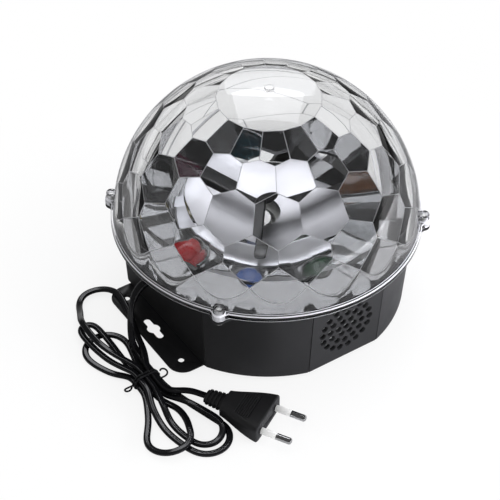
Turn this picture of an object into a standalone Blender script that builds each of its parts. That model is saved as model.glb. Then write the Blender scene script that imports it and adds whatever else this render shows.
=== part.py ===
"""A party light: a faceted crystal dome on a round base with speakers, a rotor, nine LEDs and a mains lead.

The origin is at the centre of the base on the surface it stands on, +Z up. The hanging tab and the lead
are at +Y, the controls at -Y, and the speakers look out to -X and +X. All sizes are in metres.
"""
import math

import bmesh
import bpy
import numpy as np
from mathutils import Matrix, Vector

# Fits shared by all pieces
GAP = 0.0003
CUT_OVERRUN = 0.001
ROUND_SEGMENTS = 40
MEDIUM_SEGMENTS = 16
SMALL_SEGMENTS = 12
MERGE_DISTANCE = 0.00001
MERGE_SHARE = 0.0001
HEAD_CHAMFER_SHARE = 0.7
SHARP_ANGLE = math.radians(35)

# Dome cover: rim, outer ball and the planes that cut its inside
RIM_RADIUS = 0.0925
RIM_THICKNESS = 0.0040
RIM_LEDGE = 0.0016
BALL_RADIUS = RIM_RADIUS - RIM_LEDGE
BALL_CENTRE_RISE = 0.0011
BALL_STEPS = 15
NUB_RADIUS = 0.0028
NUB_HEIGHT = 0.0012
DOME_WALL = 0.0034
CAVITY_RADIUS = BALL_RADIUS - DOME_WALL
CAVITY_TAPER = 0.038
CAVITY_POINTS_PER_COLUMN = 4
FACET_COLUMNS = 17
FACET_PHASE_DEG = 12.3
FACET_DEPTH = 0.00325
FACET_DISTANCE = BALL_RADIUS - FACET_DEPTH
FACET_ROW_ANGLES_DEG = (24.2, 38.4, 52.2, 67.6, 79.9)
FACET_ROW_DISTANCE_SHARES = (1.002, 1.004, 1.000, 1.000, 0.997)
WINDOW_DEPTH = 0.0077
WINDOW_DISTANCE = BALL_RADIUS - WINDOW_DEPTH

# Housing: its flange lies just inside the dome's rim
HOUSING_HEIGHT = 0.052
HOUSING_FLANGE_INSET = 0.0017
HOUSING_FLANGE_RADIUS = RIM_RADIUS - HOUSING_FLANGE_INSET
HOUSING_FLANGE_WIDTH = 0.0064
HOUSING_FLANGE_THICKNESS = 0.0018
HOUSING_RADIUS = HOUSING_FLANGE_RADIUS - HOUSING_FLANGE_WIDTH
HOUSING_DRAFT = 0.0029
HOUSING_WALL = 0.0022
SPEAKER_FLAT_DEPTH = 0.0036
SPEAKER_FLAT_DISTANCE = HOUSING_RADIUS - SPEAKER_FLAT_DEPTH
END_FLAT_DEPTH = 0.0124
END_FLAT_DISTANCE = HOUSING_RADIUS - END_FLAT_DEPTH
SIDE_FLAT_STEPS = 3
END_FLAT_STEPS = 4
HOUSING_ARC_STEPS = 5
GROOVE_HALF_WIDTH = 0.0004
GROOVE_DEPTH = 0.0005

# Feet and base plate
FOOT_RADIUS = 0.007
FOOT_HEIGHT = 0.0012
FOOT_INSET = 0.0244
FOOT_CIRCLE_RADIUS = HOUSING_RADIUS - FOOT_INSET
FOOT_TREAD_SHARE = 0.92
PLATE_THICKNESS = 0.001
PLATE_BORDER = 0.0015

# Hanging tab
TAB_LENGTH = 0.0175
TAB_REACH = END_FLAT_DISTANCE + TAB_LENGTH
TAB_HALF_WIDTH = 0.0415
TAB_CORNER_RADIUS = 0.010
TAB_HOLE_RADIUS = 0.00185
TAB_HOLE_SPACING = 0.062
TAB_HOLE_MARGIN = 0.0090
TAB_HOLE_DISTANCE = TAB_REACH - TAB_HOLE_MARGIN
KEYHOLE_HEAD_RADIUS = 0.0040
KEYHOLE_SLOT_WIDTH = 0.0044
KEYHOLE_SLOT_LENGTH = 0.0190

# Screw lugs of the dome, the ears of the housing below them, and the screws
LUG_ANGLE_DEG = 50.75
LUG_REACH = 0.0004
LUG_CIRCLE_RADIUS = RIM_RADIUS + LUG_REACH
LUG_RADIUS = 0.0040
LUG_ROOT_HALF_WIDTH = 0.0095
LUG_ROOT_DEPTH = 0.0013
LUG_TIP_TURN = math.radians(75)
LUG_TIP_STEPS = 8
LUG_POST_RADIUS = 0.0032
LUG_POST_HEIGHT = 0.0085
LUG_POST_ROOF = 0.0020
DOME_SCREW_TIP_CLEARANCE = 0.0005
DOME_SCREW_RADIUS = 0.0013
DOME_SCREW_HEAD_RADIUS = 0.0030
DOME_SCREW_HEAD_HEIGHT = 0.0018
BASE_BOSS_RADIUS = 0.0045
BASE_BOSS_HEIGHT = 0.016
BASE_BOSS_INSET = 0.0056
BASE_BOSS_CIRCLE_RADIUS = HOUSING_RADIUS - BASE_BOSS_INSET
BASE_SCREW_RADIUS = 0.0012
BASE_SCREW_HEAD_RADIUS = 0.0028
BASE_SCREW_HEAD_HEIGHT = 0.0008
BASE_SCREW_LENGTH = 0.010

# Speakers behind rings of round holes
SPEAKER_HEIGHT = 0.0288
GRILLE_HOLE_RADIUS = 0.0019
GRILLE_RING_PITCH = 0.0055
GRILLE_RINGS = 3
GRILLE_FIRST_RING_HOLES = 6
GRILLE_HOLE_SEGMENTS = 6
SPEAKER_RADIUS = 0.0200
SPEAKER_RIM_WIDTH = 0.0028
SPEAKER_RIM_THICKNESS = 0.0012
SPEAKER_DEPTH = 0.0085
SPEAKER_SHEET = 0.0009
MAGNET_RADIUS = 0.0110
MAGNET_THICKNESS = 0.0060
CONE_NECK_RADIUS = 0.0050
CONE_DEPTH = 0.0050
CONE_THICKNESS = 0.0006
CONE_CAP_SHARE = 0.25
SPEAKER_SEGMENTS = 20

# Deck, LED board, emitters and lenses
DECK_THICKNESS = 0.0018
DECK_RIM_CLEARANCE = 0.0007
LED_COUNT = 9
LED_CIRCLE_INSET = 0.0285
LED_CIRCLE_RADIUS = CAVITY_RADIUS - LED_CIRCLE_INSET
DECK_BORE_MARGIN = 0.0110
DECK_BORE_RADIUS = LED_CIRCLE_RADIUS - DECK_BORE_MARGIN
DECK_POST_RADIUS = 0.0035
DECK_POST_OFFSET = 0.0070
DECK_POST_CIRCLE_RADIUS = LED_CIRCLE_RADIUS + DECK_POST_OFFSET
DECK_POST_COUNT = 3
LED_PHASE_DEG = 96.0
LENS_RADIUS = 0.0076
LENS_FLANGE_RADIUS = 0.0090
LENS_FLANGE_THICKNESS = 0.0014
LENS_DOME_HEIGHT = 0.0045
LENS_POCKET_RADIUS = 0.0044
LENS_POCKET_DEPTH = 0.0034
LENS_HOLE_CLEARANCE = 0.0005
LED_BOARD_DROP = 0.0055
LED_BOARD_MARGIN = 0.0110
LED_BOARD_RADIUS = LED_CIRCLE_RADIUS + LED_BOARD_MARGIN
LED_BOARD_THICKNESS = 0.0016
LED_BOARD_BORE_RADIUS = 0.0060
EMITTER_SEGMENTS = 8
EMITTER_RADIUS = 0.0038
EMITTER_HEIGHT = 0.0012
EMITTER_DOME_RADIUS = 0.0022
EMITTER_DOME_SHARE = 0.65
LENS_SEGMENTS = 12
LENS_DOME_STEPS = 2
LENS_COLOURS = (
    ("red", (0.80, 0.02, 0.03)),
    ("blue", (0.03, 0.08, 0.85)),
    ("green", (0.05, 0.70, 0.12)),
    ("white", (0.90, 0.92, 0.94)),
    ("amber", (0.90, 0.45, 0.03)),
    ("violet", (0.38, 0.06, 0.75)),
    ("cyan", (0.05, 0.65, 0.80)),
    ("pink", (0.85, 0.18, 0.45)),
    ("yellow", (0.90, 0.78, 0.05)),
)

# Silver reflector dish
DISH_RIM_LAP = 0.0020
DISH_RIM_RADIUS = DECK_BORE_RADIUS + DISH_RIM_LAP
DISH_RIM_WIDTH = 0.0022
DISH_DEPTH = 0.0050
DISH_FLOOR_RADIUS = 0.0120
DISH_BORE_RADIUS = 0.0075
DISH_THICKNESS = 0.0010

# Motor, shaft and rotor
MOTOR_RADIUS = 0.0140
MOTOR_HEIGHT = 0.0210
MOTOR_BOSS_RADIUS = 0.0045
MOTOR_BOSS_HEIGHT = 0.0028
SHAFT_RADIUS = 0.0020
SHAFT_SUNK = 0.0100
SHAFT_RISE = 0.0210
MOTOR_SCREW_CIRCLE_RADIUS = 0.0105
MOTOR_SCREW_COUNT = 2
MOTOR_SCREW_RADIUS = 0.0012
MOTOR_SCREW_HEAD_RADIUS = 0.0022
MOTOR_SCREW_HEAD_HEIGHT = 0.0012
MOTOR_SCREW_LENGTH = 0.0060
HUB_RADIUS = 0.0070
HUB_HEIGHT = 0.0080
HUB_CAP = 0.0015
ARM_LIFT = 0.0015
ARM_COUNT = 3
ARM_WIDTH = 0.0060
ARM_THICKNESS = 0.0024
ARM_PHASE_DEG = 20.0
PRISM_CLEARANCE = 0.0145
PRISM_OUTER_RADIUS = CAVITY_RADIUS - PRISM_CLEARANCE
PRISM_WIDTH = 0.0260
PRISM_INNER_RADIUS = PRISM_OUTER_RADIUS - PRISM_WIDTH
ARM_LAP = 0.0050
ARM_REACH = PRISM_INNER_RADIUS + ARM_LAP
PRISM_THICKNESS = 0.0022
PRISM_RIDGE = 0.0022
PRISM_FACETS = 18

# Boards, connectors and controls at the front
BOARD_THICKNESS = 0.0016
POWER_BOARD_SIZE = (0.060, 0.040)
POWER_BOARD_INSET = 0.036
POWER_BOARD_CENTRE = (0.0, END_FLAT_DISTANCE - POWER_BOARD_INSET)
POWER_BOARD_STAND = 0.005
TRANSFORMER_SIZE = (0.020, 0.017, 0.016)
CAPACITOR_RADIUS = 0.0050
CAPACITOR_HEIGHT = 0.012
TRANSFORMER_OFFSET = (-0.014, 0.004)
CAPACITOR_OFFSET = (0.016, 0.006)
MAIN_BOARD_SIZE = (0.084, 0.030)
MAIN_BOARD_MARGIN = 0.0025
MAIN_BOARD_FRONT = END_FLAT_DISTANCE - MAIN_BOARD_MARGIN
MAIN_BOARD_STAND = 0.016
TRAY_MARGIN = 0.012
TRAY_SIZE = (0.072, 2 * (END_FLAT_DISTANCE - TRAY_MARGIN))
TRAY_CENTRE_Y = -0.006
TRAY_THICKNESS = 0.0012
TRAY_POST_RADIUS = 0.003
TRAY_POST_INSET = 0.0075
BUTTON_COUNT = 4
BUTTON_PITCH = 0.0090
BUTTON_FIRST_X = -0.0330
BUTTON_RADIUS = 0.00275
BUTTON_PROUD = 0.0016
BUTTON_TRAVEL = 0.0008
BUTTON_FLANGE_RADIUS = 0.0036
BUTTON_FLANGE_THICKNESS = 0.0008
BUTTON_HEIGHT_ON_BOARD = 0.0042
SWITCH_SIZE = (0.0060, 0.0035, 0.0060)
BUTTON_FLANGE_CLEARANCE = 0.0005
USB_CENTRE_X = 0.0090
USB_SIZE = (0.0132, 0.0135, 0.0062)
USB_SHEET = 0.0004
USB_TONGUE_SIZE = (0.0104, 0.0090, 0.0018)
CARD_CENTRE_X = 0.0270
CARD_SIZE = (0.0132, 0.0140, 0.0026)
CARD_SLOT_SIZE = (0.0112, 0.0011)
CARD_SLOT_DEPTH = 0.0110
INFRARED_CENTRE_X = 0.0370
INFRARED_RADIUS = 0.0020
INFRARED_LENGTH = 0.0060
INFRARED_CASE_SIZE = (0.0050, 0.0034, 0.0062)
PANEL_CLEARANCE = 0.0004

# Mains lead: bush in the back wall, free stretches, hank and tie
CORD_RADIUS = 0.0018
CORD_LIFT = 0.0001
CORD_END_LENGTH = 0.0045
CORD_POINT_SPACING = 0.0085
LAYER_HEIGHT = 0.0041
HANK_CENTRE = (-0.035, 0.106)
WAIST_HALF_LENGTH = 0.007
WAIST_LIFT = 0.0016
SLOT_PITCH = 0.0021
NEIGHBOUR_RUN = 0.012
LOOP_POINTS = 24
LOBE_ARC_POINTS = 7
CURVE_STEPS = 12
LEAD_SLOT = 7
PLUG_LEAD_SLOT = 6
# Each slot of the waist: steps across from its middle, and layer
WAIST_SLOTS = {1: (3, 0), 2: (2, 1), 4: (1, 0), 3: (0, 1), 5: (-1, 0), 6: (-2, 1), 7: (-3, 0)}
# Each loop in turn: the end of the waist it stands out from, the slots it leaves and enters, and the start
# and sweep of the arc at its tip
LOBE_SIDES = (-1, 1, -1, 1, -1, 1)
LOBE_SLOTS = ((7, 2), (2, 4), (4, 1), (1, 5), (5, 3), (3, 6))
LOBE_ARCS_DEG = ((270, -155), (85, -170), (262, -192), (100, -195), (268, -165), (62, -156))
# Centre and radius of each loop's tip, layers along the tip, and the ways out and back as x, y and layer
LOBES = (
    (
        (-0.0887, 0.0996), 0.0130, (0, 0, 0),
        ((-0.0580, 0.0953, 0.0), (-0.0766, 0.0899, 0.0)),
        ((-0.0730, 0.1165, 0.1), (-0.0560, 0.1150, 0.9)),
    ),
    (
        (0.0180, 0.1145), 0.0050, (1.03, 1.0, 1.03),
        ((-0.0200, 0.1138, 1.3), (-0.0100, 0.1172, 1.1), (0.0060, 0.1195, 1.03)),
        ((0.0050, 0.1090, 1.0), (-0.0120, 0.1085, 0.1)),
    ),
    (
        (-0.0785, 0.1182), 0.0125, (1.1, 1.0, 0.0),
        ((-0.0520, 0.1064, 0.1), (-0.0620, 0.1023, 0.1), (-0.0725, 0.1032, 0.7)),
        ((-0.0600, 0.1205, 0.0),),
    ),
    (
        (0.0003, 0.1124), 0.0130, (0, 0, 0),
        ((-0.0175, 0.1195, 0.0),),
        ((-0.0190, 0.1033, 0.15),),
    ),
    (
        (-0.0853, 0.0984), 0.0100, (1.0, 0.15, 0),
        ((-0.0495, 0.1026, 0.25), (-0.0550, 0.1003, 0.75), (-0.0610, 0.0971, 1.08), (-0.0720, 0.0925, 1.1)),
        ((-0.0710, 0.1112, 0.25), (-0.0560, 0.1088, 1.3)),
    ),
    (
        (0.0354, 0.0966), 0.0128, (0.45, 0.35, 0.85),
        (
            (-0.0220, 0.1078, 1.65), (-0.0120, 0.1125, 1.95), (0.0030, 0.1165, 2.1),
            (0.0230, 0.1162, 2.15), (0.0325, 0.1120, 1.1),
        ),
        ((0.0190, 0.0866, 0.82), (0.0000, 0.0921, 0.78), (-0.0150, 0.0963, 1.25), (-0.0215, 0.0990, 1.45)),
    ),
)
MAINS_WAY = (
    (0.0046, 0.0885, 0.0325), (0.0025, 0.0935, 0.0240), (-0.0010, 0.0965, 0.0150), (-0.0050, 0.0985, 0.0095),
    (-0.0100, 0.0989, 0.0056), (-0.0150, 0.0991, 0.0040),
)
PLUG_WAY = ((-0.0533, 0.0989, 0.0083), (-0.0564, 0.0941, 0.0081), (-0.0597, 0.0901, 0.0073))

# Bush of the lead in the back wall
BUSH_X = 0.005
BUSH_HEIGHT = 0.0370
BUSH_RADIUS = 0.0045
BUSH_FLANGE_RADIUS = 0.0062
BUSH_FLANGE_THICKNESS = 0.0014
BUSH_NOSE_RADIUS = 0.0030
BUSH_NOSE_LENGTH = 0.0036
BUSH_TIP_SHARE = 0.8

# Twist tie round the waist of the hank
TIE_RADIUS = 0.0006
TIE_CLEARANCE = 0.0004
TIE_TURNS = 2
TIE_POINTS_PER_TURN = 14
TIE_PITCH = 0.0019
TIE_START = 0.0032
TIE_TAIL_REACH = 0.0122
TIE_CURL_RADIUS = 0.0022
TIE_CURL_SWEEP_DEG = 250
TIE_CURL_POINTS = 8
TIE_CURL_CLIMB = 0.0030

# Flat two-pin plug with a ribbed strain relief
PLUG_FACE_CENTRE = (-0.1003, 0.0660)
PLUG_TURN_DEG = 210
PLUG_FACE_SIZE = (0.0310, 0.0125)
PLUG_REAR_SIZE = (0.0157, 0.0095)
PLUG_BODY_LENGTH = 0.027
PLUG_FACE_CHAMFER = 0.0008
PLUG_SQUARENESS = 5
PLUG_SECTION_POINTS = 16
RELIEF_LENGTH = 0.0120
RELIEF_RIBS = 5
RELIEF_GROOVE = 0.0008
RELIEF_TIP_SIZE = (0.0100, 0.0072)
RELIEF_ROOT_SIZE = (0.0122, 0.0088)
PIN_SPACING = 0.019
PIN_RADIUS = 0.0020
PIN_CORE_RADIUS = 0.0012
PIN_LENGTH = 0.019
PIN_SLEEVE_LENGTH = 0.010
PIN_SUNK = 0.006


# Levels that follow from the sizes above
PLATE_BOTTOM = FOOT_HEIGHT + GAP
PLATE_TOP = PLATE_BOTTOM + PLATE_THICKNESS
HOUSING_BOTTOM = PLATE_TOP + GAP
HOUSING_TOP = HOUSING_BOTTOM + HOUSING_HEIGHT
FLANGE_BOTTOM = HOUSING_TOP - HOUSING_FLANGE_THICKNESS
DOME_BOTTOM = HOUSING_TOP + GAP
BALL_CENTRE = DOME_BOTTOM + BALL_CENTRE_RISE
DECK_BOTTOM = HOUSING_TOP + GAP
DECK_TOP = DECK_BOTTOM + DECK_THICKNESS
LED_BOARD_TOP = DECK_BOTTOM - LED_BOARD_DROP
LED_BOARD_BOTTOM = LED_BOARD_TOP - LED_BOARD_THICKNESS
LENS_BOTTOM = DECK_BOTTOM - GAP - LENS_FLANGE_THICKNESS
MOTOR_TOP = LED_BOARD_BOTTOM - GAP
MOTOR_BOTTOM = MOTOR_TOP - MOTOR_HEIGHT
SHAFT_TOP = MOTOR_TOP + SHAFT_RISE
HUB_BOTTOM = SHAFT_TOP + GAP + HUB_CAP - HUB_HEIGHT
ARM_BOTTOM = HUB_BOTTOM + ARM_LIFT
PRISM_BOTTOM = ARM_BOTTOM + ARM_THICKNESS + GAP
TRAY_BOTTOM = PLATE_TOP + GAP
TRAY_TOP = TRAY_BOTTOM + TRAY_THICKNESS
POWER_BOARD_BOTTOM = TRAY_TOP + POWER_BOARD_STAND + GAP
POWER_BOARD_TOP = POWER_BOARD_BOTTOM + BOARD_THICKNESS
MAIN_BOARD_BOTTOM = TRAY_TOP + MAIN_BOARD_STAND + GAP
MAIN_BOARD_TOP = MAIN_BOARD_BOTTOM + BOARD_THICKNESS
MAIN_BOARD_CENTRE = (0.0, MAIN_BOARD_SIZE[1] / 2 - MAIN_BOARD_FRONT)
BUTTON_HEIGHT = MAIN_BOARD_TOP + BUTTON_HEIGHT_ON_BOARD
INFRARED_HEIGHT = MAIN_BOARD_TOP + GAP + INFRARED_CASE_SIZE[2] / 2
LUG_ANGLES = [math.radians(side + turn * LUG_ANGLE_DEG) for side in (0.0, 180.0) for turn in (-1, 1)]


def material(name, colour, roughness, metallic=0.0, transmission=0.0):
    """A Principled finish with the piece's colour, roughness and metallic value."""
    made = bpy.data.materials.new(name)
    made.use_nodes = True
    shader = made.node_tree.nodes["Principled BSDF"]
    shader.inputs["Base Color"].default_value = (*colour, 1.0)
    shader.inputs["Roughness"].default_value = roughness
    shader.inputs["Metallic"].default_value = metallic
    shader.inputs["Transmission Weight"].default_value = transmission
    made.diffuse_color = (*colour, 1.0)
    return made


def circle(radius, count, start=0.0):
    """Points of a circle about the origin, anticlockwise from the start angle."""
    angles = [start + 2 * math.pi * i / count for i in range(count)]
    return [(radius * math.cos(angle), radius * math.sin(angle)) for angle in angles]


def raised(outline, height):
    """A flat outline of (x, y) pairs at one height."""
    return [Vector((x, y, height)) for x, y in outline]


def add_skin(bm, rings, closed=False):
    """A skin through rings of equally many points, capped at both ends, or closed on itself."""
    made = [[bm.verts.new(point) for point in ring] for ring in rings]
    pairs = list(zip(made, made[1:]))
    if closed:
        pairs.append((made[-1], made[0]))
    else:
        bm.faces.new(made[0])
        bm.faces.new(made[-1])
    for first, second in pairs:
        for i, point in enumerate(first):
            j = (i + 1) % len(first)
            bm.faces.new((point, first[j], second[j], second[i]))


def add_prism(bm, outline, bottom, top, place=Matrix()):
    """An outline of (x, y) pairs extruded from one height to another."""
    face = bm.faces.new([bm.verts.new(place @ point) for point in raised(outline, bottom)])
    risen = bmesh.ops.extrude_face_region(bm, geom=[face], use_keep_orig=True)
    moved = [item for item in risen["geom"] if isinstance(item, bmesh.types.BMVert)]
    rise = place.to_3x3() @ Vector((0, 0, top - bottom))
    bmesh.ops.translate(bm, verts=moved, vec=rise)


def add_turned(bm, profile, segments, place=Matrix(), start=0.0):
    """A profile of (radius, height) pairs turned about Z. It starts and ends on the axis or is closed."""
    turn = Matrix.Rotation(start, 4, "Z")
    points = [bm.verts.new(place @ turn @ Vector((radius, 0, height))) for radius, height in profile]
    edges = [bm.edges.new(pair) for pair in zip(points, points[1:])]
    if profile[0][0] > 0 and profile[-1][0] > 0:
        edges.append(bm.edges.new((points[-1], points[0])))
    bmesh.ops.spin(
        bm,
        geom=points + edges,
        cent=place.translation,
        axis=place.to_3x3() @ Vector((0, 0, 1)),
        angle=2 * math.pi,
        steps=segments,
    )
    bmesh.ops.remove_doubles(bm, verts=bm.verts[:], dist=MERGE_DISTANCE)


def add_rod(bm, radius, bottom, top, segments, place=Matrix(), radius_top=None):
    """A round rod or cone along Z between two heights."""
    bmesh.ops.create_cone(
        bm,
        cap_ends=True,
        segments=segments,
        radius1=radius,
        radius2=radius if radius_top is None else radius_top,
        depth=top - bottom,
        matrix=place @ Matrix.Translation((0, 0, (bottom + top) / 2)),
    )


def add_box(bm, low, high):
    """A box between two corners."""
    centre = (Vector(low) + Vector(high)) / 2
    bmesh.ops.create_cube(bm, size=1, matrix=Matrix.LocRotScale(centre, None, Vector(high) - Vector(low)))


def placed(location, out):
    """A matrix that stands the Z axis along a direction at a place."""
    return Matrix.Translation(location) @ Vector(out).to_track_quat("Z", "Y").to_matrix().to_4x4()


def make(name, bm, finish=None, origin=(0, 0, 0), parent=None):
    """An object from the shapes, its origin at a named place. Without a finish it is a hidden helper."""
    bmesh.ops.recalc_face_normals(bm, faces=bm.faces[:])
    bmesh.ops.translate(bm, verts=bm.verts[:], vec=-Vector(origin))
    mesh = bpy.data.meshes.new(name)
    bm.to_mesh(mesh)
    bm.free()
    made = bpy.data.objects.new(name, mesh)
    bpy.context.scene.collection.objects.link(made)
    made.location = origin
    if parent is not None:
        made.parent = parent
        made.location = Vector(origin) - parent.location
    if finish is None:
        made.hide_render = True
        made.display_type = "WIRE"
        made.hide_set(True)
    else:
        mesh.materials.append(finish)
        mesh.shade_smooth()
        mesh.set_sharp_from_angle(angle=SHARP_ANGLE)
    return made


def combine(target, operation, helper):
    """A live Boolean of the helper on the target."""
    step = target.modifiers.new(helper.name, "BOOLEAN")
    step.operation = operation
    step.object = helper
    step.solver = "EXACT"


def turned_piece(name, profile, segments, finish, place=Matrix(), **options):
    bm = bmesh.new()
    add_turned(bm, profile, segments, place)
    return make(name, bm, finish, **options)


def box_piece(name, low, high, finish, **options):
    bm = bmesh.new()
    add_box(bm, low, high)
    return make(name, bm, finish, **options)


def housing_outline(rise, inset=0.0, groove=0.0):
    """The housing's outline as (x, y) pairs: a circle cut by two side flats and two end flats.

    The rise runs from zero at the bottom to one at the top, where the draft has widened it. A small
    groove marks each end of a flat.
    """
    growth = HOUSING_DRAFT * rise - inset
    radius = HOUSING_RADIUS + growth
    side = SPEAKER_FLAT_DISTANCE + growth
    end = END_FLAT_DISTANCE + growth
    side_angle = math.acos(side / radius)
    end_angle = math.asin(end / radius)
    edge = GROOVE_HALF_WIDTH / radius
    quarter = [
        *np.linspace(0, side_angle - edge, SIDE_FLAT_STEPS + 1),
        side_angle,
        *np.linspace(side_angle + edge, end_angle - edge, HOUSING_ARC_STEPS + 1),
        end_angle,
        *np.linspace(end_angle + edge, math.pi / 2, END_FLAT_STEPS + 1),
    ]
    half = quarter + [math.pi - angle for angle in reversed(quarter[:-1])]
    points = []
    for angle in half + [angle + math.pi for angle in half[1:-1]]:
        across, along = abs(math.cos(angle)), abs(math.sin(angle))
        reach = min(radius, side / max(across, MERGE_SHARE), end / max(along, MERGE_SHARE))
        corner = min(abs(math.atan2(along, across) - side_angle), abs(math.atan2(along, across) - end_angle))
        if corner < MERGE_SHARE:
            reach -= groove
        points.append((reach * math.cos(angle), reach * math.sin(angle)))
    return points


def ring_at(outline, radius):
    """A circle with a point at the angle of each point of an outline."""
    return [(radius * x / math.hypot(x, y), radius * y / math.hypot(x, y)) for x, y in outline]


def flat_distance(bottom_distance, height):
    """How far a drafted flat lies from the axis at a height."""
    return bottom_distance + HOUSING_DRAFT * (height - HOUSING_BOTTOM) / HOUSING_HEIGHT


def lug_outline(angle):
    """A screw lug seen from above: wide at its root in the rim, round about its screw."""
    root = CAVITY_RADIUS + LUG_ROOT_DEPTH
    tip = [
        (LUG_CIRCLE_RADIUS + LUG_RADIUS * math.cos(turn), LUG_RADIUS * math.sin(turn))
        for turn in np.linspace(-LUG_TIP_TURN, LUG_TIP_TURN, LUG_TIP_STEPS + 1)
    ]
    points = [(root, -LUG_ROOT_HALF_WIDTH), *tip, (root, LUG_ROOT_HALF_WIDTH)]
    cosine, sine = math.cos(angle), math.sin(angle)
    return [(x * cosine - y * sine, x * sine + y * cosine) for x, y in points]


def screw_profile(radius, length, head_radius, head_height, head_down=True):
    """Half section of a screw whose head seats at height zero."""
    way = 1 if head_down else -1
    return [
        (0, -way * head_height),
        (head_radius * HEAD_CHAMFER_SHARE, -way * head_height),
        (head_radius, -way * head_height * HEAD_CHAMFER_SHARE),
        (head_radius, 0),
        (radius, 0),
        (radius, way * length),
        (0, way * length),
    ]


def build_base():
    """Rubber feet, the steel base plate with its hanging tab, and the screws that hold it."""
    steel = material("black_steel", (0.012, 0.012, 0.013), 0.35)
    rubber = material("black_rubber", (0.02, 0.02, 0.02), 0.85)
    screw_steel = material("zinc_steel", (0.60, 0.60, 0.58), 0.35, 1.0)
    for number, (x, y) in enumerate(circle(FOOT_CIRCLE_RADIUS, 4, math.pi / 4), 1):
        bm = bmesh.new()
        place = Matrix.Translation((x, y, 0))
        add_rod(bm, FOOT_RADIUS * FOOT_TREAD_SHARE, 0, FOOT_HEIGHT, ROUND_SEGMENTS // 2, place, FOOT_RADIUS)
        make(f"rubber_foot_{number}", bm, rubber)

    bm = bmesh.new()
    add_prism(bm, housing_outline(0, PLATE_BORDER), PLATE_BOTTOM, PLATE_TOP)
    plate = make("base_plate", bm, steel)
    bm = bmesh.new()
    centre_x = TAB_HALF_WIDTH - TAB_CORNER_RADIUS
    centre_y = TAB_REACH - TAB_CORNER_RADIUS
    corner = [
        (centre_x + TAB_CORNER_RADIUS * math.cos(turn), centre_y + TAB_CORNER_RADIUS * math.sin(turn))
        for turn in np.linspace(0, math.pi / 2, SMALL_SEGMENTS // 2 + 1)
    ]
    root = END_FLAT_DISTANCE - TAB_CORNER_RADIUS
    other_corner = [(-x, y) for x, y in reversed(corner)]
    outline = [(TAB_HALF_WIDTH, root), *corner, *other_corner, (-TAB_HALF_WIDTH, root)]
    add_prism(bm, outline, PLATE_BOTTOM, PLATE_TOP)
    combine(plate, "UNION", make("tab_shape", bm))
    bm = bmesh.new()
    low, high = PLATE_BOTTOM - CUT_OVERRUN, PLATE_TOP + CUT_OVERRUN
    for side in (-1, 1):
        place = Matrix.Translation((side * TAB_HOLE_SPACING / 2, TAB_HOLE_DISTANCE, 0))
        add_rod(bm, TAB_HOLE_RADIUS, low, high, ROUND_SEGMENTS // 2, place)
    add_prism(bm, keyhole_outline(), low, high)
    for x, y in base_screw_places():
        add_rod(bm, BASE_SCREW_RADIUS + GAP, low, high, SMALL_SEGMENTS, Matrix.Translation((x, y, 0)))
    combine(plate, "DIFFERENCE", make("plate_holes", bm))

    profile = screw_profile(
        BASE_SCREW_RADIUS, BASE_SCREW_LENGTH, BASE_SCREW_HEAD_RADIUS, BASE_SCREW_HEAD_HEIGHT
    )
    for number, (x, y) in enumerate(base_screw_places(), 1):
        place = Matrix.Translation((x, y, PLATE_BOTTOM - GAP))
        turned_piece(f"base_screw_{number}", profile, SMALL_SEGMENTS, screw_steel, place)


def at_lugs(radius):
    """Places on a circle in line with the four screw lugs."""
    return [(radius * math.cos(angle), radius * math.sin(angle)) for angle in LUG_ANGLES]


def base_screw_places():
    return at_lugs(BASE_BOSS_CIRCLE_RADIUS)


def keyhole_outline():
    """A round screw-head hole with a slot to each side, in the middle of the hanging tab."""
    half_slot = KEYHOLE_SLOT_WIDTH / 2
    opening = math.asin(half_slot / KEYHOLE_HEAD_RADIUS)
    reach = KEYHOLE_SLOT_LENGTH / 2 - half_slot
    points = []
    for side in (0, math.pi):
        end = np.linspace(side - math.pi / 2, side + math.pi / 2, SMALL_SEGMENTS // 2 + 1)
        points += [(reach * math.cos(side) + half_slot * math.cos(a), half_slot * math.sin(a)) for a in end]
        arc = np.linspace(side + opening, side + math.pi - opening, SMALL_SEGMENTS // 2 + 1)
        points += [(KEYHOLE_HEAD_RADIUS * math.cos(a), KEYHOLE_HEAD_RADIUS * math.sin(a)) for a in arc]
    return [(x, y + TAB_HOLE_DISTANCE) for x, y in points]


def grille_points():
    """Centres of the speaker holes: one in the middle and rings of six, twelve and eighteen."""
    points = [(0.0, 0.0)]
    for ring in range(1, GRILLE_RINGS + 1):
        points += circle(GRILLE_RING_PITCH * ring, GRILLE_FIRST_RING_HOLES * ring)
    return points


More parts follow.
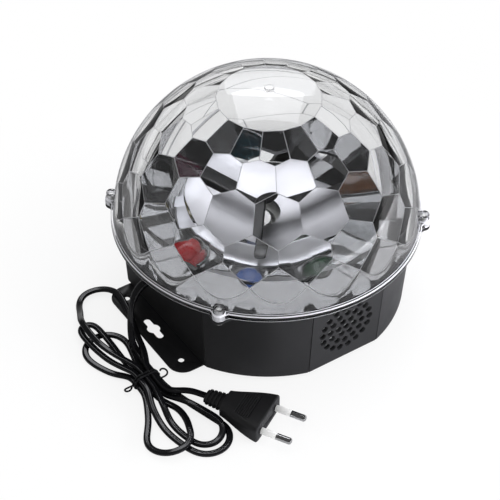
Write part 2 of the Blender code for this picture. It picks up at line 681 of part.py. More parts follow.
def build_housing():
    """The moulded base: a drafted tub with a flange, four ears, screw bosses and all its openings."""
    black = material("black_plastic", (0.015, 0.015, 0.016), 0.45)
    bm = bmesh.new()
    flange_rise = (FLANGE_BOTTOM - HOUSING_BOTTOM) / HOUSING_HEIGHT
    under_flange = housing_outline(flange_rise, groove=GROOVE_DEPTH)
    add_skin(
        bm,
        [
            raised(housing_outline(0, groove=GROOVE_DEPTH), HOUSING_BOTTOM),
            raised(under_flange, FLANGE_BOTTOM),
            raised(ring_at(under_flange, HOUSING_FLANGE_RADIUS), FLANGE_BOTTOM),
            raised(ring_at(under_flange, HOUSING_FLANGE_RADIUS), HOUSING_TOP),
            raised(housing_outline(1, HOUSING_WALL), HOUSING_TOP),
            raised(housing_outline(0, HOUSING_WALL), HOUSING_BOTTOM),
        ],
        closed=True,
    )
    housing = make("base_housing", bm, black)

    bm = bmesh.new()
    for angle in LUG_ANGLES:
        add_prism(bm, lug_outline(angle), FLANGE_BOTTOM, HOUSING_TOP)
    boss_top = HOUSING_BOTTOM + BASE_BOSS_HEIGHT
    for x, y in base_screw_places():
        place = Matrix.Translation((x, y, 0))
        add_rod(bm, BASE_BOSS_RADIUS, HOUSING_BOTTOM, boss_top, MEDIUM_SEGMENTS, place)
    combine(housing, "UNION", make("housing_ears", bm))

    bm = bmesh.new()
    for x, y in dome_screw_places():
        low, high = FLANGE_BOTTOM - CUT_OVERRUN, HOUSING_TOP + CUT_OVERRUN
        add_rod(bm, DOME_SCREW_RADIUS + GAP, low, high, SMALL_SEGMENTS, Matrix.Translation((x, y, 0)))
    for x, y in base_screw_places():
        depth = PLATE_BOTTOM + BASE_SCREW_LENGTH
        place = Matrix.Translation((x, y, 0))
        add_rod(bm, BASE_SCREW_RADIUS + GAP, HOUSING_BOTTOM - CUT_OVERRUN, depth, SMALL_SEGMENTS, place)
    cut_depth = HOUSING_DRAFT + HOUSING_WALL + CUT_OVERRUN
    for side in (-1, 1):
        for y, rise in grille_points():
            centre = (side * (SPEAKER_FLAT_DISTANCE - HOUSING_WALL), y, SPEAKER_HEIGHT + rise)
            place = placed(centre, (side, 0, 0))
            high = cut_depth + CUT_OVERRUN
            add_rod(bm, GRILLE_HOLE_RADIUS, -CUT_OVERRUN, high, GRILLE_HOLE_SEGMENTS, place)
    inside = END_FLAT_DISTANCE - HOUSING_WALL - CUT_OVERRUN
    outside = END_FLAT_DISTANCE + cut_depth
    for number in range(BUTTON_COUNT):
        place = placed((button_x(number), -inside, BUTTON_HEIGHT), (0, -1, 0))
        add_rod(bm, BUTTON_RADIUS + PANEL_CLEARANCE, 0, outside - inside, MEDIUM_SEGMENTS, place)
    place = placed((INFRARED_CENTRE_X, -inside, INFRARED_HEIGHT), (0, -1, 0))
    add_rod(bm, INFRARED_RADIUS + PANEL_CLEARANCE, 0, outside - inside, MEDIUM_SEGMENTS, place)
    for centre_x, (width, _, height) in ((USB_CENTRE_X, USB_SIZE), (CARD_CENTRE_X, CARD_SIZE)):
        half = width / 2 + PANEL_CLEARANCE
        bottom = MAIN_BOARD_TOP + GAP
        low = (centre_x - half, -outside, bottom - PANEL_CLEARANCE)
        add_box(bm, low, (centre_x + half, -inside, bottom + height + PANEL_CLEARANCE))
    place = placed((BUSH_X, inside, BUSH_HEIGHT), (0, 1, 0))
    add_rod(bm, BUSH_RADIUS + GAP, 0, outside - inside, MEDIUM_SEGMENTS, place)
    combine(housing, "DIFFERENCE", make("housing_cutouts", bm))


def build_dome():
    """The clear dome: a smooth ball outside and flat facets inside, on a flange with four screw lugs."""
    clear = material("clear_acrylic", (0.93, 0.95, 0.97), 0.03, transmission=1.0)
    screw_steel = material("bright_steel", (0.70, 0.70, 0.68), 0.25, 1.0)
    rim_top = DOME_BOTTOM + RIM_THICKNESS
    start = math.asin((rim_top - BALL_CENTRE) / BALL_RADIUS)
    finish = math.acos(NUB_RADIUS / BALL_RADIUS)
    arc = [
        (BALL_RADIUS * math.cos(rise), BALL_CENTRE + BALL_RADIUS * math.sin(rise))
        for rise in np.linspace(start, finish, BALL_STEPS + 1)
    ]
    nub_bottom = arc[-1][1]
    nub = [
        (NUB_RADIUS, nub_bottom + NUB_HEIGHT * HEAD_CHAMFER_SHARE),
        (NUB_RADIUS * HEAD_CHAMFER_SHARE, nub_bottom + NUB_HEIGHT),
        (0, nub_bottom + NUB_HEIGHT),
    ]
    profile = [(0, DOME_BOTTOM), (RIM_RADIUS, DOME_BOTTOM), (RIM_RADIUS, rim_top), *arc, *nub]
    dome = turned_piece("dome_cover", profile, ROUND_SEGMENTS, clear)
    combine(dome, "DIFFERENCE", dome_cavity())

    bm = bmesh.new()
    for angle in LUG_ANGLES:
        add_prism(bm, lug_outline(angle), DOME_BOTTOM, rim_top)
    combine(dome, "UNION", make("dome_lugs", bm))
    bm = bmesh.new()
    post_top = DOME_BOTTOM + LUG_POST_HEIGHT
    for x, y in dome_screw_places():
        place = Matrix.Translation((x, y, 0))
        add_rod(bm, LUG_POST_RADIUS, rim_top - CUT_OVERRUN, post_top, MEDIUM_SEGMENTS, place)
    combine(dome, "UNION", make("dome_posts", bm))
    bm = bmesh.new()
    for x, y in dome_screw_places():
        place = Matrix.Translation((x, y, 0))
        low, high = DOME_BOTTOM - CUT_OVERRUN, post_top - LUG_POST_ROOF
        add_rod(bm, DOME_SCREW_RADIUS + GAP, low, high, SMALL_SEGMENTS, place)
    combine(dome, "DIFFERENCE", make("dome_screw_holes", bm))

    seat = FLANGE_BOTTOM - GAP
    length = post_top - LUG_POST_ROOF - DOME_SCREW_TIP_CLEARANCE - seat
    profile = screw_profile(DOME_SCREW_RADIUS, length, DOME_SCREW_HEAD_RADIUS, DOME_SCREW_HEAD_HEIGHT)
    for number, (x, y) in enumerate(dome_screw_places(), 1):
        place = Matrix.Translation((x, y, seat))
        turned_piece(f"dome_screw_{number}", profile, SMALL_SEGMENTS, screw_steel, place)


def dome_screw_places():
    return at_lugs(LUG_CIRCLE_RADIUS)


def dome_cavity():
    """The hollow of the dome: a steep cone cut by five staggered rows of facet planes and a flat window."""
    bm = bmesh.new()
    bottom = DOME_BOTTOM - CUT_OVERRUN
    top = BALL_CENTRE + BALL_RADIUS
    add_rod(
        bm,
        CAVITY_RADIUS + CAVITY_TAPER * CUT_OVERRUN,
        bottom,
        top,
        FACET_COLUMNS * CAVITY_POINTS_PER_COLUMN,
        Matrix.Rotation(math.radians(FACET_PHASE_DEG), 4, "Z"),
        CAVITY_RADIUS - CAVITY_TAPER * (top - DOME_BOTTOM),
    )
    planes = [(Vector((0, 0, 1)), WINDOW_DISTANCE)]
    pitch = 2 * math.pi / FACET_COLUMNS
    for row, (polar_deg, share) in enumerate(zip(FACET_ROW_ANGLES_DEG, FACET_ROW_DISTANCE_SHARES)):
        polar = math.radians(polar_deg)
        phase = math.radians(FACET_PHASE_DEG) + (0.0 if row % 2 else pitch / 2)
        for column in range(FACET_COLUMNS):
            turn = Matrix.Rotation(phase + pitch * column, 3, "Z")
            planes.append((turn @ Vector((math.sin(polar), 0, math.cos(polar))), FACET_DISTANCE * share))
    centre = Vector((0, 0, BALL_CENTRE))
    for out, distance in planes:
        cut = bmesh.ops.bisect_plane(
            bm,
            geom=bm.verts[:] + bm.edges[:] + bm.faces[:],
            plane_co=centre + out * distance,
            plane_no=out,
            dist=MERGE_DISTANCE,
            clear_outer=True,
        )
        edges = [item for item in cut["geom_cut"] if isinstance(item, bmesh.types.BMEdge)]
        bmesh.ops.holes_fill(bm, edges=edges, sides=0)
    return make("dome_cavity", bm)


def lens_angle(number):
    return math.radians(LED_PHASE_DEG) + 2 * math.pi * number / LED_COUNT


def build_deck():
    """The black deck under the dome, its LED board with emitters, and one coloured lens for each emitter."""
    black = material("deck_plastic", (0.012, 0.012, 0.012), 0.30)
    board = material("white_board", (0.75, 0.76, 0.74), 0.45)
    radius = CAVITY_RADIUS - DECK_RIM_CLEARANCE
    profile = [
        (DECK_BORE_RADIUS, DECK_BOTTOM),
        (radius, DECK_BOTTOM),
        (radius, DECK_TOP),
        (DECK_BORE_RADIUS, DECK_TOP),
    ]
    deck = turned_piece("deck_bezel", profile, ROUND_SEGMENTS, black)
    bm = bmesh.new()
    post_phase = lens_angle(0) + math.pi / LED_COUNT
    for x, y in circle(DECK_POST_CIRCLE_RADIUS, DECK_POST_COUNT, post_phase):
        low, high = LED_BOARD_TOP + GAP, DECK_BOTTOM + DECK_THICKNESS / 2
        add_rod(bm, DECK_POST_RADIUS, low, high, SMALL_SEGMENTS, Matrix.Translation((x, y, 0)))
    combine(deck, "UNION", make("deck_posts", bm))
    bm = bmesh.new()
    for x, y in circle(LED_CIRCLE_RADIUS, LED_COUNT, lens_angle(0)):
        low, high = DECK_BOTTOM - CUT_OVERRUN, DECK_TOP + CUT_OVERRUN
        place = Matrix.Translation((x, y, 0))
        add_rod(bm, LENS_RADIUS + LENS_HOLE_CLEARANCE, low, high, LENS_SEGMENTS, place)
    combine(deck, "DIFFERENCE", make("lens_holes", bm))

    profile = [
        (LED_BOARD_BORE_RADIUS, LED_BOARD_BOTTOM),
        (LED_BOARD_RADIUS, LED_BOARD_BOTTOM),
        (LED_BOARD_RADIUS, LED_BOARD_TOP),
        (LED_BOARD_BORE_RADIUS, LED_BOARD_TOP),
    ]
    led_board = turned_piece("led_board", profile, ROUND_SEGMENTS, board)
    bm = bmesh.new()
    for x, y in circle(LED_CIRCLE_RADIUS, LED_COUNT, lens_angle(0)):
        base = LED_BOARD_TOP + EMITTER_HEIGHT
        rim = EMITTER_DOME_RADIUS * EMITTER_DOME_SHARE
        profile = [
            (0, LED_BOARD_TOP - LED_BOARD_THICKNESS / 2),
            (EMITTER_RADIUS, LED_BOARD_TOP - LED_BOARD_THICKNESS / 2),
            (EMITTER_RADIUS, base),
            (EMITTER_DOME_RADIUS, base),
            (rim, base + rim),
            (0, base + rim),
        ]
        add_turned(bm, profile, EMITTER_SEGMENTS, Matrix.Translation((x, y, 0)))
    combine(led_board, "UNION", make("emitter_shapes", bm))
    bm = bmesh.new()
    for x, y in motor_screw_places():
        low, high = LED_BOARD_BOTTOM - CUT_OVERRUN, LED_BOARD_TOP + CUT_OVERRUN
        add_rod(bm, MOTOR_SCREW_RADIUS + GAP, low, high, SMALL_SEGMENTS, Matrix.Translation((x, y, 0)))
    combine(led_board, "DIFFERENCE", make("led_board_holes", bm))

    rim_height = DECK_TOP
    steps = np.linspace(0, math.pi / 2, LENS_DOME_STEPS + 1)
    dome = [(LENS_RADIUS * math.cos(rise), rim_height + LENS_DOME_HEIGHT * math.sin(rise)) for rise in steps]
    dome[-1] = (0, rim_height + LENS_DOME_HEIGHT)
    profile = [
        (0, LENS_BOTTOM + LENS_POCKET_DEPTH),
        (LENS_POCKET_RADIUS, LENS_BOTTOM + LENS_POCKET_DEPTH),
        (LENS_POCKET_RADIUS, LENS_BOTTOM),
        (LENS_FLANGE_RADIUS, LENS_BOTTOM),
        (LENS_FLANGE_RADIUS, LENS_BOTTOM + LENS_FLANGE_THICKNESS),
        (LENS_RADIUS, LENS_BOTTOM + LENS_FLANGE_THICKNESS),
        *dome,
    ]
    for number, (name, colour) in enumerate(LENS_COLOURS):
        angle = lens_angle(number)
        centre = (LED_CIRCLE_RADIUS * math.cos(angle), LED_CIRCLE_RADIUS * math.sin(angle), 0)
        tinted = material(f"{name}_acrylic", colour, 0.12, transmission=0.8)
        turned_piece(f"{name}_lens", profile, LENS_SEGMENTS, tinted, Matrix.Translation(centre))


def build_dish():
    """The silver dish in the middle of the deck, open at its centre for the motor's boss and shaft."""
    silver = material("silvered_plastic", (0.80, 0.81, 0.83), 0.12, 1.0)
    rim_bottom = DECK_TOP + GAP
    rim_top = rim_bottom + DISH_THICKNESS
    inner = DISH_RIM_RADIUS - DISH_RIM_WIDTH
    floor_bottom = rim_bottom - DISH_DEPTH
    profile = [
        (DISH_RIM_RADIUS, rim_bottom),
        (DISH_RIM_RADIUS, rim_top),
        (inner, rim_top),
        (DISH_FLOOR_RADIUS, floor_bottom + DISH_THICKNESS),
        (DISH_BORE_RADIUS, floor_bottom + DISH_THICKNESS),
        (DISH_BORE_RADIUS, floor_bottom),
        (DISH_FLOOR_RADIUS, floor_bottom),
        (inner, rim_bottom),
    ]
    turned_piece("reflector_dish", profile, ROUND_SEGMENTS, silver)


def motor_screw_places():
    return circle(MOTOR_SCREW_CIRCLE_RADIUS, MOTOR_SCREW_COUNT, math.radians(ARM_PHASE_DEG))


def build_rotor():
    """The motor under the LED board and what it turns: shaft, three-armed spider and clear prism ring."""
    can = material("motor_steel", (0.55, 0.55, 0.54), 0.35, 1.0)
    screw_steel = material("motor_screw_steel", (0.65, 0.65, 0.62), 0.30, 1.0)
    shaft_steel = material("shaft_steel", (0.70, 0.70, 0.70), 0.20, 1.0)
    black = material("spider_plastic", (0.010, 0.010, 0.010), 0.35)
    clear = material("prism_acrylic", (0.92, 0.94, 0.96), 0.05, transmission=1.0)
    hole_bottom = MOTOR_TOP - SHAFT_SUNK
    boss_top = MOTOR_TOP + MOTOR_BOSS_HEIGHT
    profile = [
        (0, MOTOR_BOTTOM),
        (MOTOR_RADIUS, MOTOR_BOTTOM),
        (MOTOR_RADIUS, MOTOR_TOP),
        (MOTOR_BOSS_RADIUS, MOTOR_TOP),
        (MOTOR_BOSS_RADIUS, boss_top),
        (SHAFT_RADIUS + GAP, boss_top),
        (SHAFT_RADIUS + GAP, hole_bottom),
        (0, hole_bottom),
    ]
    motor = turned_piece("motor", profile, ROUND_SEGMENTS // 2, can)
    head_seat = LED_BOARD_TOP + GAP
    bm = bmesh.new()
    for x, y in motor_screw_places():
        low = head_seat - MOTOR_SCREW_LENGTH - GAP
        place = Matrix.Translation((x, y, 0))
        add_rod(bm, MOTOR_SCREW_RADIUS + GAP, low, MOTOR_TOP + CUT_OVERRUN, SMALL_SEGMENTS, place)
    combine(motor, "DIFFERENCE", make("motor_screw_holes", bm))
    profile = screw_profile(
        MOTOR_SCREW_RADIUS,
        MOTOR_SCREW_LENGTH,
        MOTOR_SCREW_HEAD_RADIUS,
        MOTOR_SCREW_HEAD_HEIGHT,
        head_down=False,
    )
    for number, (x, y) in enumerate(motor_screw_places(), 1):
        place = Matrix.Translation((x, y, head_seat))
        turned_piece(f"motor_screw_{number}", profile, SMALL_SEGMENTS, screw_steel, place)

    turning = bpy.data.objects.new("rotor_axis", None)
    bpy.context.scene.collection.objects.link(turning)
    turning.location = (0, 0, SHAFT_TOP)
    bm = bmesh.new()
    add_rod(bm, SHAFT_RADIUS, hole_bottom + GAP, SHAFT_TOP, MEDIUM_SEGMENTS)
    make("rotor_shaft", bm, shaft_steel, turning.location, turning)

    bore = SHAFT_RADIUS + GAP
    hub_top = HUB_BOTTOM + HUB_HEIGHT
    profile = [
        (bore, HUB_BOTTOM),
        (HUB_RADIUS, HUB_BOTTOM),
        (HUB_RADIUS, hub_top),
        (0, hub_top),
        (0, hub_top - HUB_CAP),
        (bore, hub_top - HUB_CAP),
    ]
    bm = bmesh.new()
    add_turned(bm, profile, ROUND_SEGMENTS // 2)
    spider = make("rotor_spider", bm, black, turning.location, turning)
    bm = bmesh.new()
    root = (bore + HUB_RADIUS) / 2
    half = ARM_WIDTH / 2
    outline = [(root, -half), (ARM_REACH, -half), (ARM_REACH, half), (root, half)]
    for arm in range(ARM_COUNT):
        turn = Matrix.Rotation(math.radians(ARM_PHASE_DEG) + 2 * math.pi * arm / ARM_COUNT, 4, "Z")
        add_prism(bm, outline, ARM_BOTTOM, ARM_BOTTOM + ARM_THICKNESS, turn)
    combine(spider, "UNION", make("spider_arms", bm, origin=turning.location, parent=turning))

    bm = bmesh.new()
    sections = []
    for step in range(2 * PRISM_FACETS):
        turn = math.radians(ARM_PHASE_DEG) + math.pi * step / PRISM_FACETS
        top = PRISM_BOTTOM + PRISM_THICKNESS + (PRISM_RIDGE if step % 2 else 0)
        corners = (
            (PRISM_INNER_RADIUS, PRISM_BOTTOM),
            (PRISM_OUTER_RADIUS, PRISM_BOTTOM),
            (PRISM_OUTER_RADIUS, top),
            (PRISM_INNER_RADIUS, top),
        )
        sections.append([Vector((r * math.cos(turn), r * math.sin(turn), z)) for r, z in corners])
    add_skin(bm, sections, closed=True)
    make("prism_ring", bm, clear, turning.location, turning)


def build_speakers():
    """A small loudspeaker behind each pattern of holes: steel frame with magnet, and paper cone."""
    steel = material("speaker_steel", (0.30, 0.30, 0.30), 0.45, 1.0)
    paper = material("cone_paper", (0.03, 0.03, 0.03), 0.90)
    back = -SPEAKER_DEPTH
    neck = MAGNET_RADIUS - SPEAKER_SHEET
    rim_inner = SPEAKER_RADIUS - SPEAKER_RIM_WIDTH
    frame = [
        (0, back - MAGNET_THICKNESS),
        (MAGNET_RADIUS, back - MAGNET_THICKNESS),
        (MAGNET_RADIUS, back),
        (rim_inner + SPEAKER_SHEET, -SPEAKER_RIM_THICKNESS),
        (SPEAKER_RADIUS, -SPEAKER_RIM_THICKNESS),
        (SPEAKER_RADIUS, 0),
        (rim_inner, 0),
        (rim_inner, -SPEAKER_RIM_THICKNESS),
        (neck, back + SPEAKER_SHEET),
        (0, back + SPEAKER_SHEET),
    ]
    edge = rim_inner - GAP
    front = -GAP
    cone = [
        (0, front - CONE_DEPTH + CONE_NECK_RADIUS * CONE_CAP_SHARE),
        (CONE_NECK_RADIUS, front - CONE_DEPTH),
        (edge, front),
        (edge, front - CONE_THICKNESS),
        (CONE_NECK_RADIUS, front - CONE_DEPTH - CONE_THICKNESS),
        (0, front - CONE_DEPTH - CONE_THICKNESS + CONE_NECK_RADIUS * CONE_CAP_SHARE),
    ]
    lean = HOUSING_DRAFT / HOUSING_HEIGHT
    for name, side in (("left", -1), ("right", 1)):
        out = Vector((side, 0, -lean)).normalized()
        inner = flat_distance(SPEAKER_FLAT_DISTANCE - HOUSING_WALL, SPEAKER_HEIGHT)
        centre = Vector((side * inner, 0, SPEAKER_HEIGHT)) - out * GAP
        place = placed(centre, out)
        turned_piece(f"{name}_speaker_frame", frame, SPEAKER_SEGMENTS, steel, place)
        turned_piece(f"{name}_speaker_cone", cone, SPEAKER_SEGMENTS, paper, place)


def board_box(centre, size, bottom, top):
    """Corners of a board or a block on it, from its centre in plan."""
    low = (centre[0] - size[0] / 2, centre[1] - size[1] / 2, bottom)
    return low, (centre[0] + size[0] / 2, centre[1] + size[1] / 2, top)


def build_boards():
    """The tray on the base plate, the power board and the main board on it, and what they carry."""
    tray_plastic = material("tray_plastic", (0.05, 0.05, 0.05), 0.60)
    green = material("green_board", (0.03, 0.16, 0.07), 0.45)
    ferrite = material("transformer_yellow", (0.55, 0.42, 0.06), 0.55)
    sleeve = material("capacitor_sleeve", (0.02, 0.02, 0.06), 0.35)
    low, high = board_box((0.0, TRAY_CENTRE_Y), TRAY_SIZE, TRAY_BOTTOM, TRAY_TOP)
    tray = box_piece("board_tray", low, high, tray_plastic)
    bm = bmesh.new()
    for centre, size, top in (
        (POWER_BOARD_CENTRE, POWER_BOARD_SIZE, POWER_BOARD_BOTTOM - GAP),
        (MAIN_BOARD_CENTRE, MAIN_BOARD_SIZE, MAIN_BOARD_BOTTOM - GAP),
    ):
        reach_x = min(size[0], TRAY_SIZE[0]) / 2 - TRAY_POST_INSET
        reach_y = size[1] / 2 - TRAY_POST_INSET
        for x in (-reach_x, reach_x):
            for y in (-reach_y, reach_y):
                place = Matrix.Translation((centre[0] + x, centre[1] + y, 0))
                add_rod(bm, TRAY_POST_RADIUS, TRAY_BOTTOM + TRAY_THICKNESS / 2, top, SMALL_SEGMENTS, place)
    combine(tray, "UNION", make("tray_posts", bm))

    low, high = board_box(POWER_BOARD_CENTRE, POWER_BOARD_SIZE, POWER_BOARD_BOTTOM, POWER_BOARD_TOP)
    box_piece("power_board", low, high, green)
    bottom = POWER_BOARD_TOP + GAP
    centre = [a + b for a, b in zip(POWER_BOARD_CENTRE, TRANSFORMER_OFFSET)]
    low, high = board_box(centre, TRANSFORMER_SIZE, bottom, bottom + TRANSFORMER_SIZE[2])
    box_piece("transformer", low, high, ferrite)
    bm = bmesh.new()
    centre = [a + b for a, b in zip(POWER_BOARD_CENTRE, CAPACITOR_OFFSET)]
    place = Matrix.Translation((*centre, 0))
    add_rod(bm, CAPACITOR_RADIUS, bottom, bottom + CAPACITOR_HEIGHT, MEDIUM_SEGMENTS, place)
    make("capacitor", bm, sleeve)

    low, high = board_box(MAIN_BOARD_CENTRE, MAIN_BOARD_SIZE, MAIN_BOARD_BOTTOM, MAIN_BOARD_TOP)
    main_board = box_piece("main_board", low, high, green)
    bm = bmesh.new()
    front = switch_front()
    for number in range(BUTTON_COUNT):
        low = (button_x(number) - SWITCH_SIZE[0] / 2, front, MAIN_BOARD_TOP - BOARD_THICKNESS / 2)
        high = (low[0] + SWITCH_SIZE[0], front + SWITCH_SIZE[1], BUTTON_HEIGHT + SWITCH_SIZE[2] / 2)
        add_box(bm, low, high)
    combine(main_board, "UNION", make("switch_shapes", bm))


def button_x(number):
    return BUTTON_FIRST_X + BUTTON_PITCH * number


def flange_front():
    """Where a button's flange stops behind the drafted front wall, at the flange's lower edge."""
    lowest = BUTTON_HEIGHT - BUTTON_FLANGE_RADIUS
    return -flat_distance(END_FLAT_DISTANCE - HOUSING_WALL, lowest) + BUTTON_FLANGE_CLEARANCE


def switch_front():
    """The front of the push switches: a pressed button stops just short of them."""
    return flange_front() + BUTTON_FLANGE_THICKNESS + BUTTON_TRAVEL + GAP


def build_controls():
    """Push buttons, USB and card sockets and the infrared window in the front wall."""
    gloss = material("button_plastic", (0.02, 0.02, 0.02), 0.25)
    tin = material("socket_steel", (0.68, 0.68, 0.66), 0.28, 1.0)
    tongue_blue = material("tongue_plastic", (0.05, 0.16, 0.50), 0.45)
    card_steel = material("card_steel", (0.60, 0.60, 0.60), 0.35, 1.0)
    dark_red = material("infrared_plastic", (0.05, 0.005, 0.01), 0.15)
    back = flange_front() + BUTTON_FLANGE_THICKNESS
    face = -flat_distance(END_FLAT_DISTANCE, BUTTON_HEIGHT) - BUTTON_PROUD
    flange = flange_front()
    chamfer = BUTTON_PROUD * (1 - HEAD_CHAMFER_SHARE)
    for number in range(BUTTON_COUNT):
        profile = [
            (0, 0),
            (BUTTON_FLANGE_RADIUS, 0),
            (BUTTON_FLANGE_RADIUS, back - flange),
            (BUTTON_RADIUS, back - flange),
            (BUTTON_RADIUS, back - face - chamfer),
            (BUTTON_RADIUS - chamfer, back - face),
            (0, back - face),
        ]
        origin = (button_x(number), back, BUTTON_HEIGHT)
        place = placed(origin, (0, -1, 0))
        turned_piece(f"button_{number + 1}", profile, MEDIUM_SEGMENTS, gloss, place, origin=origin)

    bottom = MAIN_BOARD_TOP + GAP
    front = -flat_distance(END_FLAT_DISTANCE, bottom)
    width, depth, height = USB_SIZE
    low = (USB_CENTRE_X - width / 2, front, bottom)
    high = (USB_CENTRE_X + width / 2, front + depth, bottom + height)
    socket = box_piece("usb_socket", low, high, tin)
    inner_low = (low[0] + USB_SHEET, front - CUT_OVERRUN, bottom + USB_SHEET)
    inner_high = (high[0] - USB_SHEET, high[1] - USB_SHEET, high[2] - USB_SHEET)
    bm = bmesh.new()
    add_box(bm, inner_low, inner_high)
    combine(socket, "DIFFERENCE", make("usb_hollow", bm))
    tongue_width, tongue_depth, tongue_height = USB_TONGUE_SIZE
    middle = bottom + height / 2
    low = (USB_CENTRE_X - tongue_width / 2, inner_high[1] - GAP - tongue_depth, middle - tongue_height / 2)
    high = (USB_CENTRE_X + tongue_width / 2, inner_high[1] - GAP, middle + tongue_height / 2)
    box_piece("usb_tongue", low, high, tongue_blue)

    width, depth, height = CARD_SIZE
    low = (CARD_CENTRE_X - width / 2, front, bottom)
    high = (CARD_CENTRE_X + width / 2, front + depth, bottom + height)
    card = box_piece("card_socket", low, high, card_steel)
    slot_width, slot_height = CARD_SLOT_SIZE
    middle = bottom + height / 2
    bm = bmesh.new()
    low = (CARD_CENTRE_X - slot_width / 2, front - CUT_OVERRUN, middle - slot_height / 2)
    high = (CARD_CENTRE_X + slot_width / 2, front + CARD_SLOT_DEPTH, middle + slot_height / 2)
    add_box(bm, low, high)
    combine(card, "DIFFERENCE", make("card_slot", bm))

    case_width, case_depth, case_height = INFRARED_CASE_SIZE
    case_front = -END_FLAT_DISTANCE + HOUSING_WALL + CUT_OVERRUN
    low = (INFRARED_CENTRE_X - case_width / 2, case_front, bottom)
    high = (INFRARED_CENTRE_X + case_width / 2, case_front + case_depth, bottom + case_height)
    eye = box_piece("infrared_receiver", low, high, dark_red)
    bm = bmesh.new()
    place = placed((INFRARED_CENTRE_X, case_front + case_depth / 2, INFRARED_HEIGHT), (0, -1, 0))
    add_rod(bm, INFRARED_RADIUS, 0, INFRARED_LENGTH, SMALL_SEGMENTS, place)
    combine(eye, "UNION", make("infrared_lens", bm))


def rise(level):
    """Height of the cord's centre on a layer of the hank. Layer zero lies on the floor."""
    return CORD_LIFT + CORD_RADIUS + LAYER_HEIGHT * level


def smooth_curve(points, steps):
    """Points of a centripetal curve through the given points."""
    given = np.asarray(points)
    given = np.vstack([2 * given[0] - given[1], given, 2 * given[-1] - given[-2]])
    made = []
    for a, b, c, d in zip(given, given[1:], given[2:], given[3:]):
        t0 = 0
        t1 = math.sqrt(np.linalg.norm(b - a))
        t2 = t1 + math.sqrt(np.linalg.norm(c - b))
        t3 = t2 + math.sqrt(np.linalg.norm(d - c))
        t = np.linspace(t1, t2, steps, endpoint=False)[:, None]
        ab = ((t1 - t) * a + (t - t0) * b) / (t1 - t0)
        bc = ((t2 - t) * b + (t - t1) * c) / (t2 - t1)
        cd = ((t3 - t) * c + (t - t2) * d) / (t3 - t2)
        abc = ((t2 - t) * ab + (t - t0) * bc) / (t2 - t0)
        bcd = ((t3 - t) * bc + (t - t1) * cd) / (t3 - t1)
        made.append(((t2 - t) * abc + (t - t1) * bcd) / (t2 - t1))
    made.append(given[-2][None])
    return np.vstack(made)


def spaced(curve, count):
    """Evenly spaced points along a curve."""
    run = np.concatenate([[0], np.cumsum(np.linalg.norm(np.diff(curve, axis=0), axis=1))])
    places = np.linspace(0, run[-1], count)
    return np.column_stack([np.interp(places, run, curve[:, axis]) for axis in range(3)])


def slot_point(slot, side):
    """Where a cord enters the waist of the hank: seven slots in two layers, numbered from the far side."""
    step, layer = WAIST_SLOTS[slot]
    x = HANK_CENTRE[0] + side * WAIST_HALF_LENGTH
    return np.array((x, HANK_CENTRE[1] + SLOT_PITCH * step, rise(layer) + WAIST_LIFT))


def lobe_points(side, slots, arc_deg, lobe):
    """One loop of the hank: out of the waist, round an arc at its tip and back into another slot."""
    first, last = slots
    start_deg, sweep_deg = arc_deg
    centre, radius, levels, way_out, way_back = lobe
    shares = np.linspace(0, 1, LOBE_ARC_POINTS)
    turns = np.radians(start_deg + sweep_deg * shares)
    heights = rise(np.interp(shares, (0, 0.5, 1), levels))
    arc = np.column_stack([centre[0] + radius * np.cos(turns), centre[1] + radius * np.sin(turns), heights])
    to_middle = np.array((side * WAIST_HALF_LENGTH, 0, 0))
    points = [
        slot_point(first, side) - to_middle,
        slot_point(first, side),
        *[(x, y, rise(level)) for x, y, level in way_out],
        *arc,
        *[(x, y, rise(level)) for x, y, level in way_back],
        slot_point(last, side),
        slot_point(last, side) - to_middle,
    ]
    curve = smooth_curve(points, CURVE_STEPS)[CURVE_STEPS:-CURVE_STEPS]
    return spaced(curve, LOOP_POINTS)


def hank_route():
    """The whole hank as one path, straight for one diameter at each end."""
    straight = np.array((CORD_END_LENGTH, 0, 0))
    start, finish = slot_point(LEAD_SLOT, 1), slot_point(PLUG_LEAD_SLOT, -1)
    lobes = [lobe_points(*given) for given in zip(LOBE_SIDES, LOBE_SLOTS, LOBE_ARCS_DEG, LOBES)]
    return np.vstack([start + straight, start, *lobes, finish, finish - straight])


def least_gap(route, other=None):
    """Least distance between tube surfaces along a route, or between two routes."""
    def fine(points):
        run = np.concatenate([[0], np.cumsum(np.linalg.norm(np.diff(points, axis=0), axis=1))])
        places = np.arange(0, run[-1], CORD_RADIUS / 2)
        return places, np.column_stack([np.interp(places, run, points[:, axis]) for axis in range(3)])

    places, points = fine(route)
    others, facing = (places, points) if other is None else fine(other)
    apart = np.linalg.norm(points[:, None] - facing[None], axis=2)
    if other is None:
        apart[np.abs(places[:, None] - others[None]) < NEIGHBOUR_RUN] = np.inf
    return apart.min() - 2 * CORD_RADIUS


def tube(name, points, radius, resolution, finish):
    """A round tube with closed ends along a path."""
    curve = bpy.data.curves.new(name, "CURVE")
    curve.dimensions = "3D"
    curve.bevel_depth = radius
    curve.bevel_resolution = resolution
    curve.use_fill_caps = True
    spline = curve.splines.new("POLY")
    spline.points.add(len(points) - 1)
    for place, point in zip(spline.points, points):
        place.co = (*point, 1)
    curve.materials.append(finish)
    made = bpy.data.objects.new(name, curve)
    bpy.context.scene.collection.objects.link(made)


def plug_frame():
    """Unit vectors of the plug seen from above: the way its pins point, and across it."""
    turn = math.radians(PLUG_TURN_DEG)
    return np.array((math.cos(turn), math.sin(turn), 0)), np.array((-math.sin(turn), math.cos(turn), 0))


def plug_place():
    """A matrix whose Z axis runs along the plug's pins from the middle of its face."""
    forward, across = plug_frame()
    centre = Vector((*PLUG_FACE_CENTRE, CORD_LIFT + PLUG_FACE_SIZE[1] / 2))
    turn = Matrix((Vector(across), Vector((0, 0, 1)), Vector(forward))).transposed().to_4x4()
    return Matrix.Translation(centre) @ turn


